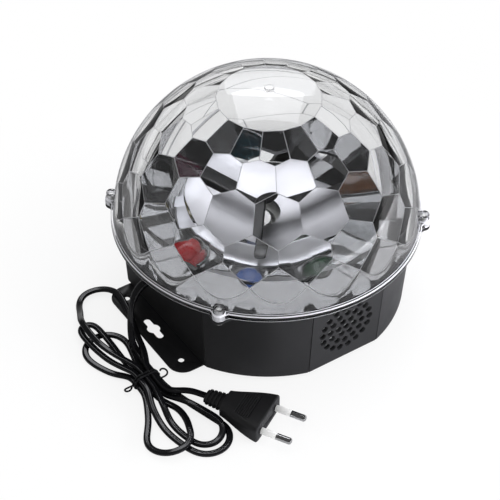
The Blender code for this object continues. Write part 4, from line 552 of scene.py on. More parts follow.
def turned(profile, segments, place=None):
    """A lathe surface: each (radius, height) of the profile swept through a full turn about Z."""
    radius, height = np.asarray(profile, float).T
    angle = np.linspace(0, TURN, segments, endpoint=False)
    x, y = np.outer(radius, np.cos(angle)), np.outer(radius, np.sin(angle))
    return moved(np.stack([x, y, np.outer(height, np.ones_like(angle))], -1), place)


def ringed(corners, segments, radius, place=None):
    """A looped lathe surface from a closed profile with eased corners."""
    return turned(rounded_loop(corners, radius), segments, place)


def rod(radius, bottom, top):
    """The profile of a plain cylinder that stands on the axis."""
    return [(0, bottom), (radius, bottom), (radius, top), (0, top)]


def inset(outline, amount):
    """An anticlockwise outline moved inwards by mitred normals."""
    side = np.roll(outline, -1, axis=0) - outline
    side /= np.linalg.norm(side, axis=1, keepdims=True)
    after = np.column_stack([side[:, 1], -side[:, 0]])
    before = np.roll(after, 1, axis=0)
    mitre = (after + before) / (1 + (after * before).sum(axis=1, keepdims=True))
    return outline - amount * mitre


def level(outline, height):
    return np.column_stack([outline, np.full(len(outline), height)])


def slab(outline, bottom, top, edge, steps=3, place=None):
    """A flat body whose upper and lower edges are quarter rounds of the given radius."""
    turn = np.linspace(0, QUARTER, steps + 1)
    rings = [(edge * (1 - math.sin(t)), edge * (1 - math.cos(t))) for t in turn]
    rows = [level(inset(outline, inwards), bottom + rise) for inwards, rise in rings]
    rows += [level(inset(outline, inwards), top - rise) for inwards, rise in reversed(rings)]
    return moved(np.array(rows), place)


def arc(centre, radius, start, finish, steps):
    angle = np.linspace(start, finish, steps + 1)
    return np.column_stack([centre[0] + radius * np.cos(angle), centre[1] + radius * np.sin(angle)])


def rounded_box(half_x, half_y, radius, steps=4):
    """An anticlockwise rectangle about the origin with round corners."""
    x, y = half_x - radius, half_y - radius
    corners = ((x, y, 0), (-x, y, QUARTER), (-x, -y, 2 * QUARTER), (x, -y, 3 * QUARTER))
    return np.vstack([arc((cx, cy), radius, start, start + QUARTER, steps) for cx, cy, start in corners])


def around(radius, number, start=0.0):
    """Places evenly round a circle."""
    angle = start + TURN * np.arange(number) / number
    return list(zip(radius * np.cos(angle), radius * np.sin(angle)))


def unit(vectors):
    return vectors / np.linalg.norm(vectors, axis=-1, keepdims=True)


def carried(section, path, up, size=None):
    """A closed section carried along a path. Its first axis lies across the path, its second along up."""
    ahead = unit(np.gradient(path, axis=0))
    up = unit(up - (up * ahead).sum(axis=1, keepdims=True) * ahead)
    across = np.cross(ahead, up)
    size = np.ones(len(path)) if size is None else size
    reach = section[None] * size[:, None, None]
    return path[:, None] + reach[..., :1] * across[:, None] + reach[..., 1:] * up[:, None]


def oval(width, height, points, squareness=2.0):
    """A ring between an ellipse and a rectangle.

    Each axis follows a cosine or sine to the power two over the squareness.
    """
    angle = TURN * (np.arange(points) + 0.5) / points
    across, rise = np.cos(angle), np.sin(angle)
    power = 2 / squareness
    x = width / 2 * np.sign(across) * np.abs(across) ** power
    return np.column_stack([x, height / 2 * np.sign(rise) * np.abs(rise) ** power])


LUG_SPREAD_DEG = 50.75
LUG_ANGLES = [math.radians(side + turn * LUG_SPREAD_DEG) for side in (0.0, 180.0) for turn in (-1, 1)]
LUG_ROOT = 0.0888
LUG_PAINTED_LIGHT_FROM = 0.0006
LUG_ROOT_HALF_WIDTH = 0.0095
LUG_TIP_TURN, LUG_TIP_STEPS = math.radians(75), 18


def at_lugs(radius):
    return [(radius * math.cos(angle), radius * math.sin(angle)) for angle in LUG_ANGLES]


def lug_outline(dome, angle):
    """A lug seen from above: straight sides from a wide root to the round about its screw."""
    tip = arc((dome.lug_reach, 0), dome.lug_radius, -LUG_TIP_TURN, LUG_TIP_TURN, LUG_TIP_STEPS)
    half = LUG_ROOT_HALF_WIDTH
    points = np.vstack([[(LUG_ROOT, -half)], tip, [(LUG_ROOT, half)]])
    cosine, sine = math.cos(angle), math.sin(angle)
    return points @ np.array(((cosine, sine), (-sine, cosine)))


HEAD_CROWN_SHARES, HEAD_EDGE_SHARE, HEAD_ROUND_SHARE = (0.55, 0.95), 0.35, 0.3


def screw(place, radius, depth, head_radius, head_height):
    """A pan-head screw whose head hangs under the place's origin and whose shank rises from it."""
    across, high = HEAD_CROWN_SHARES
    profile = [
        (0, -head_height), (head_radius * across, -head_height * high),
        (head_radius, -head_height * HEAD_EDGE_SHARE), (head_radius, 0),
        (radius, 0), (radius, depth), (0, depth),
    ]
    return turned(rounded(profile, head_height * HEAD_ROUND_SHARE), SCREW_SEGMENTS, place)


FACET_PHASE = math.radians(12.3)
FACET_ROWS = ((24.2, 1.002), (38.4, 1.004), (52.2, 1.000), (67.6, 1.000), (79.9, 0.997))
FACET_TOLERANCE = math.cos(math.radians(0.5))
CAVITY_TAPER = 0.038
CAVITY_TAPER_DROP = -math.sin(math.atan(CAVITY_TAPER))
FACET_DROP_SHARE = 0.1
INNER_MARGIN, WALL_TOLERANCE = 0.0012, 0.02
RIM_ROUND_SLOPES = (0.2, 0.98)
HOLLOW_SEGMENTS_PER_COLUMN = 10
PLANE_TOLERANCE = MERGE_DISTANCE * 10
RIDGE_ANGLE = math.radians(6)


def facet_planes(dome):
    """Direction and distance of the window and of every facet, in rows that are staggered by half a pitch."""
    planes = [(Vector((0, 0, 1)), dome.window_distance)]
    pitch = TURN / dome.columns
    for row, (polar, portion) in enumerate(FACET_ROWS):
        out = Vector((math.sin(math.radians(polar)), 0, math.cos(math.radians(polar))))
        phase = FACET_PHASE + (0.0 if row % 2 else pitch / 2)
        turns = [Matrix.Rotation(phase + pitch * column, 3, "Z") for column in range(dome.columns)]
        planes += [(turn @ out, dome.facet_distance * portion) for turn in turns]
    return planes


def paint_edge_light(shell, dome):
    """Store on each face how milky it is, as painted light: highlights on the rim's round edges most, then on
    the chamfers between facets, paleness on the lugs and a faint haze on the wall.
    """
    mesh = shell.data
    number = len(mesh.polygons)
    normal, centre = np.empty(number * 3), np.empty(number * 3)
    mesh.polygons.foreach_get("normal", normal)
    mesh.polygons.foreach_get("center", centre)
    normal, centre = normal.reshape(-1, 3), centre.reshape(-1, 3)
    outs = np.array([out for out, _ in facet_planes(dome)])
    facet = (normal @ -outs.T).max(axis=1) > FACET_TOLERANCE
    from_ball = centre - (0, 0, BALL_CENTRE)
    inner = np.linalg.norm(from_ball, axis=1) < dome.ball_radius - INNER_MARGIN
    inner &= (normal * from_ball).sum(axis=1) < 0
    wall = inner & ~facet & (np.abs(normal[:, 2] - CAVITY_TAPER_DROP) < WALL_TOLERANCE)
    # A faint painted haze on the smooth wall below the facets, painted highlight lines on the chamfers.
    painted_light = np.where(inner & ~facet, np.where(wall, dome.wall_haze, dome.edge_highlight), 0.0)
    slope, reach = np.abs(normal[:, 2]), np.hypot(centre[:, 0], centre[:, 1])
    low = centre[:, 2] < DOME_BOTTOM + dome.rim_thickness + CUT_OVERRUN
    steepest, flattest = RIM_ROUND_SLOPES
    edge = low & (reach > dome.ball_radius) & (slope > steepest) & (slope < flattest)
    # Painted highlight along the rim's round edges, and painted paleness on the lugs.
    painted_light[edge] = dome.rim_highlight
    lug = low & (reach > dome.rim_radius + LUG_PAINTED_LIGHT_FROM)
    painted_light[lug] = np.maximum(painted_light[lug], dome.lug_highlight)
    mesh.attributes.new("painted_light", "FLOAT", "FACE").data.foreach_set("value", painted_light.astype(np.float32))


def dome_hollow(dome):
    """The inside of the dome: a steep cone cut by staggered rows of planes, then every ridge chamfered."""
    bm = bmesh.new()
    bottom, top = DOME_BOTTOM - CUT_OVERRUN, BALL_CENTRE + dome.ball_radius
    bmesh.ops.create_cone(
        bm,
        cap_ends=True,
        segments=dome.columns * HOLLOW_SEGMENTS_PER_COLUMN,
        radius1=dome.cavity_radius + CAVITY_TAPER * CUT_OVERRUN,
        radius2=dome.cavity_radius - CAVITY_TAPER * (top - DOME_BOTTOM),
        depth=top - bottom,
        matrix=Matrix.Translation((0, 0, (bottom + top) / 2)) @ Matrix.Rotation(FACET_PHASE, 4, "Z"),
    )
    centre = Vector((0, 0, BALL_CENTRE))
    for out, distance in facet_planes(dome):
        cut = bmesh.ops.bisect_plane(
            bm,
            geom=bm.verts[:] + bm.edges[:] + bm.faces[:],
            plane_co=centre + out * distance,
            plane_no=out,
            dist=PLANE_TOLERANCE,
            clear_outer=True,
        )
        edges = [item for item in cut["geom_cut"] if isinstance(item, bmesh.types.BMEdge)]
        bmesh.ops.holes_fill(bm, edges=edges, sides=0)
    bmesh.ops.recalc_face_normals(bm, faces=bm.faces[:])
    ridges = [edge for edge in bm.edges if edge.calc_face_angle(0) > RIDGE_ANGLE]
    ridges = [edge for edge in ridges if min(v.co.z for v in edge.verts) > DOME_BOTTOM]
    bmesh.ops.bevel(bm, geom=ridges, offset=dome.facet_edge, segments=1, profile=0.5, affect="EDGES")
    for face in bm.faces:
        face.smooth = abs(face.normal.z) < FACET_DROP_SHARE
    mesh = bpy.data.meshes.new("hollow")
    bm.to_mesh(mesh)
    bm.free()
    made = bpy.data.objects.new("hollow", mesh)
    bpy.context.scene.collection.objects.link(made)
    return made


BALL_LIFT, BALL_FOOT_RISE, BALL_STEPS = 0.0011, 0.0012, 72
BALL_CENTRE = DOME_BOTTOM + BALL_LIFT
NUB_RADIUS, NUB_HEIGHT, NUB_ROUND = 0.0028, 0.0012, 0.0008
RIM_ROUNDS, RIM_STEPS = (0.0010, 0.0012, 0.0006), 6
LUG_EDGE, EAR_EDGE = 0.0006, 0.0005
POST_ROOF, POST_FLARE, POST_FLARE_HEIGHT, POST_ROUND = 0.0020, 0.0008, 0.0012, 0.0009
FINE_STEPS = 5
DOME_SCREW_RADIUS, DOME_SCREW_TIP_GAP = 0.0013, 0.0005
DOME_SCREW_HEAD = (0.0030, 0.0018)
DOME_SCREW_NODES = [f"dome_screw_{number}" for number in range(1, 5)]


class PARTYLIGHT_OT_dome(Operator):
    """Clear dome with inner facets, and the four screws in its lugs"""

    bl_idname = "party_light.dome"
    bl_label = "Dome"

    def execute(self, context):
        dome = context.scene.party_light.dome
        rim_top = DOME_BOTTOM + dome.rim_thickness
        radius = dome.ball_radius
        start = math.asin((rim_top - BALL_CENTRE + BALL_FOOT_RISE) / radius)
        ball = arc((0, BALL_CENTRE), radius, start, math.acos(NUB_RADIUS / radius), BALL_STEPS)
        foot = math.sqrt(radius**2 - (rim_top - BALL_CENTRE) ** 2)
        rim = [(0, DOME_BOTTOM), (dome.rim_radius, DOME_BOTTOM), (dome.rim_radius, rim_top)]
        rim = rounded([*rim, (foot, rim_top), ball[0]], RIM_ROUNDS, RIM_STEPS)
        top = ball[-1][1]
        nub = [ball[-1], (NUB_RADIUS, top + NUB_HEIGHT), (0, top + NUB_HEIGHT)]
        profile = np.vstack([rim[:-1], ball[:-1], rounded(nub, NUB_ROUND, FINE_STEPS)])
        shell = Shape(turned(profile, dome.smoothness)).object("dome_shell")
        shell = combined(shell, "DIFFERENCE", dome_hollow(dome))
        lugs = Shape()
        for angle in LUG_ANGLES:
            lugs.add(slab(lug_outline(dome, angle), DOME_BOTTOM, rim_top, LUG_EDGE))
        shell = combined(shell, "UNION", lugs.object("lugs"))
        post_top = DOME_BOTTOM + dome.post_height
        posts, holes, screws = Shape(), Shape(), Shape()
        seat = HOUSING_TOP - context.scene.party_light.base.flange_thickness - GAP
        thin, wide = dome.post_radius, dome.post_radius + POST_FLARE
        sunk, roof = rim_top - CUT_OVERRUN, post_top - POST_ROOF
        post = [(0, sunk), (wide, sunk), (wide, rim_top), (thin, rim_top + POST_FLARE_HEIGHT)]
        post = rounded([*post, (thin, post_top), (0, post_top)], POST_ROUND, FINE_STEPS)
        hole = rod(DOME_SCREW_RADIUS + GAP, DOME_BOTTOM - CUT_OVERRUN, roof)
        depth = roof - DOME_SCREW_TIP_GAP - seat
        for x, y in at_lugs(dome.lug_reach):
            posts.add(turned(post, BORE_SEGMENTS, shifted(x, y)))
            holes.add(turned(hole, HOLE_SEGMENTS, shifted(x, y)))
            screws.add(screw(shifted(x, y, seat), DOME_SCREW_RADIUS, depth, *DOME_SCREW_HEAD))
        shell = combined(shell, "UNION", posts.object("posts"))
        shell = combined(shell, "DIFFERENCE", holes.object("holes"))
        paint_edge_light(shell, dome)
        # The milky white on the stored faces is painted highlight and haze, not a frosted finish.
        acrylic = clear_with_painted_light("clear_acrylic_look", dome.colour, dome.painted_light, "painted_light")
        dress(shell, acrylic, "clear_acrylic", "dome_cover")
        colour = (0.72, 0.72, 0.70)
        bright = moulded("bright_screw_look", colour, 0.25, grain=0.0, variation=0.05, Metallic=0.35)
        dress(screws.object("dome_screws"), bright, "bright_steel", *DOME_SCREW_NODES)
        return {"FINISHED"}


GROOVE_HALF_ANGLE, QUARTER_POINTS, TINY = 0.0050, 49, 1e-9
GROOVE_STOPS = np.array((-1.0, -0.5, 0.0, 0.5, 1.0)) * GROOVE_HALF_ANGLE


def housing_outline(base, rise, inwards=0.0, groove=0.0):
    """The housing seen from above: the least of a circle and two pairs of flats, in polar form.

    The reach at each angle is the smallest of the radius, the side distance over the cosine and the end
    distance over the sine. A narrow dip in it marks each end of a flat.
    """
    growth = base.draft * rise - inwards
    radius, side, end = base.radius + growth, base.side_flat + growth, base.end_flat + growth
    ends = np.array((math.acos(side / radius), math.asin(end / radius)))
    near = ends[:, None] + GROOVE_STOPS
    quarter = np.unique(np.concatenate([np.linspace(0, QUARTER, QUARTER_POINTS), near.ravel()]))
    half = np.concatenate([quarter, math.pi - quarter[-2::-1]])
    angle = np.concatenate([half, half[1:-1] + math.pi])
    across, along = np.abs(np.cos(angle)), np.abs(np.sin(angle))
    reach = np.minimum(radius, np.minimum(side / np.maximum(across, TINY), end / np.maximum(along, TINY)))
    off = np.abs(np.arctan2(along, across)[:, None] - ends).min(axis=1)
    reach = reach - groove * np.clip(1 - off / GROOVE_HALF_ANGLE, 0, 1)
    return np.column_stack([reach * np.cos(angle), reach * np.sin(angle)])


def flat_at(distance, height):
    """How far a drafted flat lies from the axis at a height."""
    base = bpy.context.scene.party_light.base
    return distance + base.draft * (height - HOUSING_BOTTOM) / (HOUSING_TOP - HOUSING_BOTTOM)


def to_circle(outline, radius):
    return unit(outline) * radius


# Rounds of the housing, each stop a rise or drop from the end and a setback
FOOT_SETBACK, FOOT_STOPS = 0.0005, ((0.0001, 0.0001), (0.0006, 0.0))
WALL_START, WALL_END, WALL_ROWS = 0.001, 0.002, 6
NECK_STOPS = ((0.0006, 0.0), (0.0002, -0.0002), (0.0, -0.0007))
FLANGE_STOPS = ((0.0, 0.0006), (0.0002, 0.0002), (0.0006, 0.0))
BASE_BOSS_CIRCLE = 0.0788
BASE_BOSS_RADIUS, BASE_BOSS_HEIGHT, BASE_BOSS_ROUND = 0.0045, 0.016, 0.0004
BASE_SCREW_RADIUS, BASE_SCREW_LENGTH = 0.0012, 0.010
BASE_SCREW_HEAD = (0.0028, 0.0008)
GRILLE_RINGS, GRILLE_CUT_DEPTH, GRILLE_CUT_RISE = 3, 0.0040, 0.002
GRILLE_FLARE, GRILLE_FLARE_DEPTH = 0.0004, 0.0005
PANEL_CUT_RISE, INFRARED_HOLE_RADIUS = 0.003, 0.0024
SOCKET_CORNER, SOCKET_EDGE = 0.0006, 0.0001
BUTTON_X = (-0.0330, -0.0240, -0.0150, -0.0060)
BUTTON_RADIUS = 0.00275
PANEL_CLEARANCE = 0.0004
BUTTON_HEIGHT = (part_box("button_1")[0][2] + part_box("button_1")[1][2]) / 2
BUSH_X, BUSH_HEIGHT, BUSH_RADIUS = 0.005, 0.0370, 0.0045


def face_of(node):
    """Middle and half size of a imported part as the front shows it: across, up, half width, half height."""
    low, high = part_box(node)
    middle = (low[0] + high[0]) / 2, (low[2] + high[2]) / 2
    return *middle, (high[0] - low[0]) / 2, (high[2] - low[2]) / 2


class PARTYLIGHT_OT_housing(Operator):
    """Moulded base with its flange, ears, speaker holes and openings"""

    bl_idname = "party_light.housing"
    bl_label = "Housing"

    def execute(self, context):
        base, dome = context.scene.party_light.base, context.scene.party_light.dome
        height = HOUSING_TOP - HOUSING_BOTTOM
        under = HOUSING_TOP - base.flange_thickness

        def ring(z, inwards=0.0, groove=base.groove):
            return level(housing_outline(base, (z - HOUSING_BOTTOM) / height, inwards, groove), z)

        def flange(radius, z):
            return level(to_circle(housing_outline(base, 1.0), radius), z)

        rows = [ring(HOUSING_BOTTOM, FOOT_SETBACK, 0.0)]
        rows += [ring(HOUSING_BOTTOM + rise, setback) for rise, setback in FOOT_STOPS]
        rows += [ring(z) for z in np.linspace(HOUSING_BOTTOM + WALL_START, under - WALL_END, WALL_ROWS)]
        rows += [ring(under - drop, setback) for drop, setback in NECK_STOPS]
        reach = base.flange_radius
        rows += [flange(reach - setback, under + rise) for rise, setback in FLANGE_STOPS]
        rows += [flange(reach - setback, HOUSING_TOP - drop) for drop, setback in reversed(FLANGE_STOPS)]
        rows += [ring(HOUSING_TOP, base.wall, 0.0), ring(HOUSING_BOTTOM, base.wall, 0.0)]
        housing = Shape(np.array(rows), looped=True).object("housing_shell")
        ears = Shape()
        for angle in LUG_ANGLES:
            ears.add(slab(lug_outline(dome, angle), under, HOUSING_TOP, EAR_EDGE))
        boss = rod(BASE_BOSS_RADIUS, HOUSING_BOTTOM, HOUSING_BOTTOM + BASE_BOSS_HEIGHT)
        for x, y in at_lugs(BASE_BOSS_CIRCLE):
            ears.add(turned(rounded(boss, BASE_BOSS_ROUND), HOLE_SEGMENTS, shifted(x, y)))
        housing = combined(housing, "UNION", ears.object("ears"))
        housing = combined(housing, "DIFFERENCE", self.openings(base, dome, under))
        black = moulded("black_plastic_look", base.plastic, 0.45, Specular_IOR_Level=0.5)
        dress(creased(housing), black, "black_plastic", "base_housing")
        return {"FINISHED"}

    def openings(self, base, dome, under):
        """Every hole in one tool: speaker holes with flared mouths, panel holes and screw holes."""
        tool = Shape()
        places = [(0.0, 0.0)]
        for ring in range(1, GRILLE_RINGS + 1):
            places += around(base.grille_pitch * ring, 6 * ring)
        lean = base.draft / (HOUSING_TOP - HOUSING_BOTTOM)
        hole, mouth = base.grille_hole, base.grille_hole + GRILLE_FLARE
        bore = [(0, -GRILLE_CUT_DEPTH), (hole, -GRILLE_CUT_DEPTH), (hole, -GRILLE_FLARE_DEPTH)]
        bore += [(mouth, 0.0), (mouth, GRILLE_CUT_RISE), (0, GRILLE_CUT_RISE)]
        for side in (-1, 1):
            for y, rise in places:
                z = base.speaker_height + rise
                centre = (side * flat_at(base.side_flat, z), y, z)
                tool.add(turned(bore, HOLE_SEGMENTS, stood(centre, (side, 0, -lean))))
        inner, outer = base.end_flat - base.wall - CUT_OVERRUN, base.end_flat + base.draft + PANEL_CUT_RISE
        for x in BUTTON_X:
            tool.add(self.bore(x, BUTTON_HEIGHT, BUTTON_RADIUS + PANEL_CLEARANCE, -inner, -outer))
        x, z, _, _ = face_of("infrared_receiver")
        tool.add(self.bore(x, z, INFRARED_HOLE_RADIUS, -inner, -outer))
        for node in ("usb_socket", "card_socket"):
            x, z, half_x, half_z = face_of(node)
            outline = rounded_box(half_x + PANEL_CLEARANCE, half_z + PANEL_CLEARANCE, SOCKET_CORNER)
            tool.add(slab(outline, 0, outer - inner, SOCKET_EDGE, 1, stood((x, -inner, z), (0, -1, 0))))
        tool.add(self.bore(BUSH_X, BUSH_HEIGHT, BUSH_RADIUS + GAP, inner, outer))
        for x, y in at_lugs(dome.lug_reach):
            tool.add(self.well(x, y, DOME_SCREW_RADIUS + GAP, under - CUT_OVERRUN, HOUSING_TOP + CUT_OVERRUN))
        for x, y in at_lugs(BASE_BOSS_CIRCLE):
            depth = PLATE_BOTTOM + BASE_SCREW_LENGTH
            tool.add(self.well(x, y, BASE_SCREW_RADIUS + GAP, HOUSING_BOTTOM - CUT_OVERRUN, depth))
        return tool.object("openings")

    @staticmethod
    def bore(x, z, radius, start, finish):
        way = 1 if finish > start else -1
        return turned(rod(radius, 0, abs(finish - start)), BORE_SEGMENTS, stood((x, start, z), (0, way, 0)))

    @staticmethod
    def well(x, y, radius, bottom, top):
        return turned(rod(radius, bottom, top), SCREW_SEGMENTS, shifted(x, y))


FOOT_CIRCLE, FOOT_RADIUS, FOOT_BEVEL, FOOT_ROUND, FOOT_COUNT = 0.060, 0.007, 0.0006, 0.0003, 4
PLATE_BORDER, PLATE_EDGE = 0.0015, 0.0003
TAB_HOLE_X, TAB_HOLE_RADIUS, TAB_HOLE_MARGIN = 0.031, 0.00185, 0.0090
TAB_HOLE_FLARE, TAB_HOLE_FLARE_DEPTH = 0.0003, 0.0002
TAB_CORNER_STEPS = 12
KEYHOLE_HEAD, KEYHOLE_HALF_SLOT, KEYHOLE_REACH, KEYHOLE_STEPS = 0.0040, 0.0022, 0.0095, 12
BASE_SCREW_NODES = [f"base_screw_{number}" for number in range(1, 5)]
FOOT_NODES = [f"rubber_foot_{number}" for number in range(1, FOOT_COUNT + 1)]


class PARTYLIGHT_OT_plate(Operator):
    """Steel base plate with its hanging tab, rubber feet and the screws under it"""

    bl_idname = "party_light.plate"
    bl_label = "Base plate"

    def execute(self, context):
        base = context.scene.party_light.base
        disc = slab(housing_outline(base, 0.0, PLATE_BORDER), PLATE_BOTTOM, PLATE_TOP, PLATE_EDGE, 2)
        plate = Shape(disc).object("base_plate_sheet")
        x, y = base.tab_half_width - base.tab_corner, base.tab_reach - base.tab_corner
        root = base.end_flat - base.tab_corner
        corner = arc((x, y), base.tab_corner, 0, QUARTER, TAB_CORNER_STEPS)
        half = np.vstack([[(base.tab_half_width, root)], corner])
        tab = slab(np.vstack([half, half[::-1] * (-1, 1)]), PLATE_BOTTOM, PLATE_TOP, PLATE_EDGE, 2)
        plate = combined(plate, "UNION", Shape(tab).object("tab"))
        low, high = PLATE_BOTTOM - CUT_OVERRUN, PLATE_TOP + CUT_OVERRUN
        holes = Shape()
        hole_y = base.tab_reach - TAB_HOLE_MARGIN
        hole, mouth = TAB_HOLE_RADIUS, TAB_HOLE_RADIUS + TAB_HOLE_FLARE
        flare = [(0, low), (hole, low), (hole, PLATE_TOP - TAB_HOLE_FLARE_DEPTH)]
        flare += [(mouth, PLATE_TOP), (mouth, high), (0, high)]
        for side in (-1, 1):
            holes.add(turned(flare, BORE_SEGMENTS, shifted(side * TAB_HOLE_X, hole_y)))
        holes.add(np.array([level(self.keyhole(hole_y), z) for z in (low, high)]))
        for x, y in at_lugs(BASE_BOSS_CIRCLE):
            holes.add(PARTYLIGHT_OT_housing.well(x, y, BASE_SCREW_RADIUS + GAP, low, high))
        plate = combined(plate, "DIFFERENCE", holes.object("plate_holes"))
        dress(creased(plate), painted("black_steel_look", base.steel, 0.33), "black_steel", "base_plate")

        feet, screws = Shape(), Shape()
        top = PLATE_BOTTOM - GAP
        foot = [(0, 0), (FOOT_RADIUS - FOOT_BEVEL, 0), (FOOT_RADIUS, FOOT_BEVEL), (FOOT_RADIUS, top)]
        foot = rounded([*foot, (0, top)], FOOT_ROUND)
        for x, y in around(FOOT_CIRCLE, FOOT_COUNT, QUARTER / 2):
            feet.add(turned(foot, BEAD_SEGMENTS, shifted(x, y)))
        for x, y in at_lugs(BASE_BOSS_CIRCLE):
            screws.add(screw(shifted(x, y, top), BASE_SCREW_RADIUS, BASE_SCREW_LENGTH, *BASE_SCREW_HEAD))
        rubber = moulded("black_rubber_look", base.rubber, 0.8, COARSE_GRAIN, RUBBER_GRAIN_SCALE)
        dress(feet.object("rubber_feet"), rubber, "black_rubber", *FOOT_NODES)
        zinc = metal("zinc_screw_look", (0.62, 0.62, 0.58), 0.32)
        dress(screws.object("base_screws"), zinc, "zinc_steel", *BASE_SCREW_NODES)
        return {"FINISHED"}

    @staticmethod
    def keyhole(middle):
        """A round head hole with a slot to each side: three circles joined by straight sides."""
        opening = math.asin(KEYHOLE_HALF_SLOT / KEYHOLE_HEAD)
        reach = KEYHOLE_REACH - KEYHOLE_HALF_SLOT
        parts = []
        for side in (0.0, math.pi):
            centre = (reach * math.cos(side), 0)
            parts.append(arc(centre, KEYHOLE_HALF_SLOT, side - QUARTER, side + QUARTER, KEYHOLE_STEPS))
            parts.append(arc((0, 0), KEYHOLE_HEAD, side + opening, side + math.pi - opening, KEYHOLE_STEPS))
        return np.vstack(parts) + (0, middle)


SPEAKER_RADIUS, SPEAKER_RIM, SPEAKER_DEPTH = 0.0200, 0.0028, 0.0085
MAGNET_RADIUS, MAGNET_HEIGHT = 0.0110, 0.0060
BASKET_SHEET, BASKET_FLANGE, BASKET_ROUND = 0.0009, 0.0012, 0.0004
CAP_CENTRE, CAP_RADIUS, CAP_SPREAD, CAP_STEPS = -0.0128, 0.0090, 0.58, 6
CONE_NECK, CONE_THICKNESS, CONE_LIP = (0.0052, -0.0053), 0.0006, 0.0011
SURROUND_START, SURROUND_MIDDLE, SURROUND_RADIUS, SURROUND_STEPS = 0.0035, 0.0018, 0.0013, 8
SPEAKER_SEGMENTS = 64


class PARTYLIGHT_OT_speakers(Operator):
    """Two small loudspeakers, each a pressed frame with a magnet and a paper cone"""

    bl_idname = "party_light.speakers"
    bl_label = "Speakers"

    def execute(self, context):
        base = context.scene.party_light.base
        lean = base.draft / (HOUSING_TOP - HOUSING_BOTTOM)
        steel = metal("speaker_frame_look", (0.60, 0.60, 0.61), 0.35)
        paper = paper_cone("speaker_cone_look", (0.45, 0.46, 0.45))
        inner = SPEAKER_RADIUS - SPEAKER_RIM
        back = -SPEAKER_DEPTH
        floor, flange = back + BASKET_SHEET, -BASKET_FLANGE
        frame_profile = [
            (0, back - MAGNET_HEIGHT), (MAGNET_RADIUS, back - MAGNET_HEIGHT), (MAGNET_RADIUS, back),
            (inner + BASKET_SHEET, flange), (SPEAKER_RADIUS, flange), (SPEAKER_RADIUS, 0), (inner, 0),
            (inner, flange), (MAGNET_RADIUS - BASKET_SHEET, floor), (0, floor),
        ]
        basket = rounded(frame_profile, BASKET_ROUND)
        edge = inner - GAP
        front = np.vstack([
            arc((0, CAP_CENTRE), CAP_RADIUS, QUARTER, QUARTER - CAP_SPREAD, CAP_STEPS),
            [CONE_NECK, (edge - SURROUND_START, flange)],
            arc((edge - SURROUND_MIDDLE, flange), SURROUND_RADIUS, math.pi, 0.0, SURROUND_STEPS),
            [(edge, -CONE_LIP)],
        ])
        cone = np.vstack([front, (front - (0, CONE_THICKNESS))[::-1]])
        for name, side in (("left", -1), ("right", 1)):
            out = np.array((side, 0, -lean)) / math.hypot(1, lean)
            reach = flat_at(base.side_flat - base.wall, base.speaker_height)
            place = stood(Vector((side * reach, 0, base.speaker_height)) - Vector(out) * GAP, out)
            for profile, piece, look, slot, node in (
                (basket, "basket", steel, "speaker_steel", "frame"),
                (cone, "paper", paper, "cone_paper", "cone"),
            ):
                made = Shape(turned(profile, SPEAKER_SEGMENTS, place)).object(f"{name}_speaker_{piece}")
                dress(made, look, slot, f"{name}_speaker_{node}")
        return {"FINISHED"}


LENS_NAMES = ("red", "blue", "green", "white", "amber", "violet", "cyan", "pink", "yellow")
LENS_PHASE = math.radians(96.0)
DECK_RADIUS, DECK_ROUND, DECK_SEGMENTS = 0.0868, 0.0003, 128
LENS_HOLE_CLEARANCE = 0.0005
COLLAR_RISE, COLLAR_SUNK, COLLAR_WIDTH, COLLAR_TOP = 0.0007, 0.0008, 0.0014, (0.0010, 0.0002)
DECK_POST_COUNT, DECK_POST_OFFSET, DECK_POST_RADIUS, DECK_POST_OVERLAP = 3, 0.007, 0.0035, 0.0009
DISH_RIM_WIDTH, DISH_THICKNESS, DISH_DEPTH, DISH_ROUND = 0.0022, 0.0010, 0.0050, 0.0004
DISH_FLOOR_RADIUS, DISH_BORE, DISH_STEPS, DISH_SEGMENTS = 0.0120, 0.0075, 14, 144


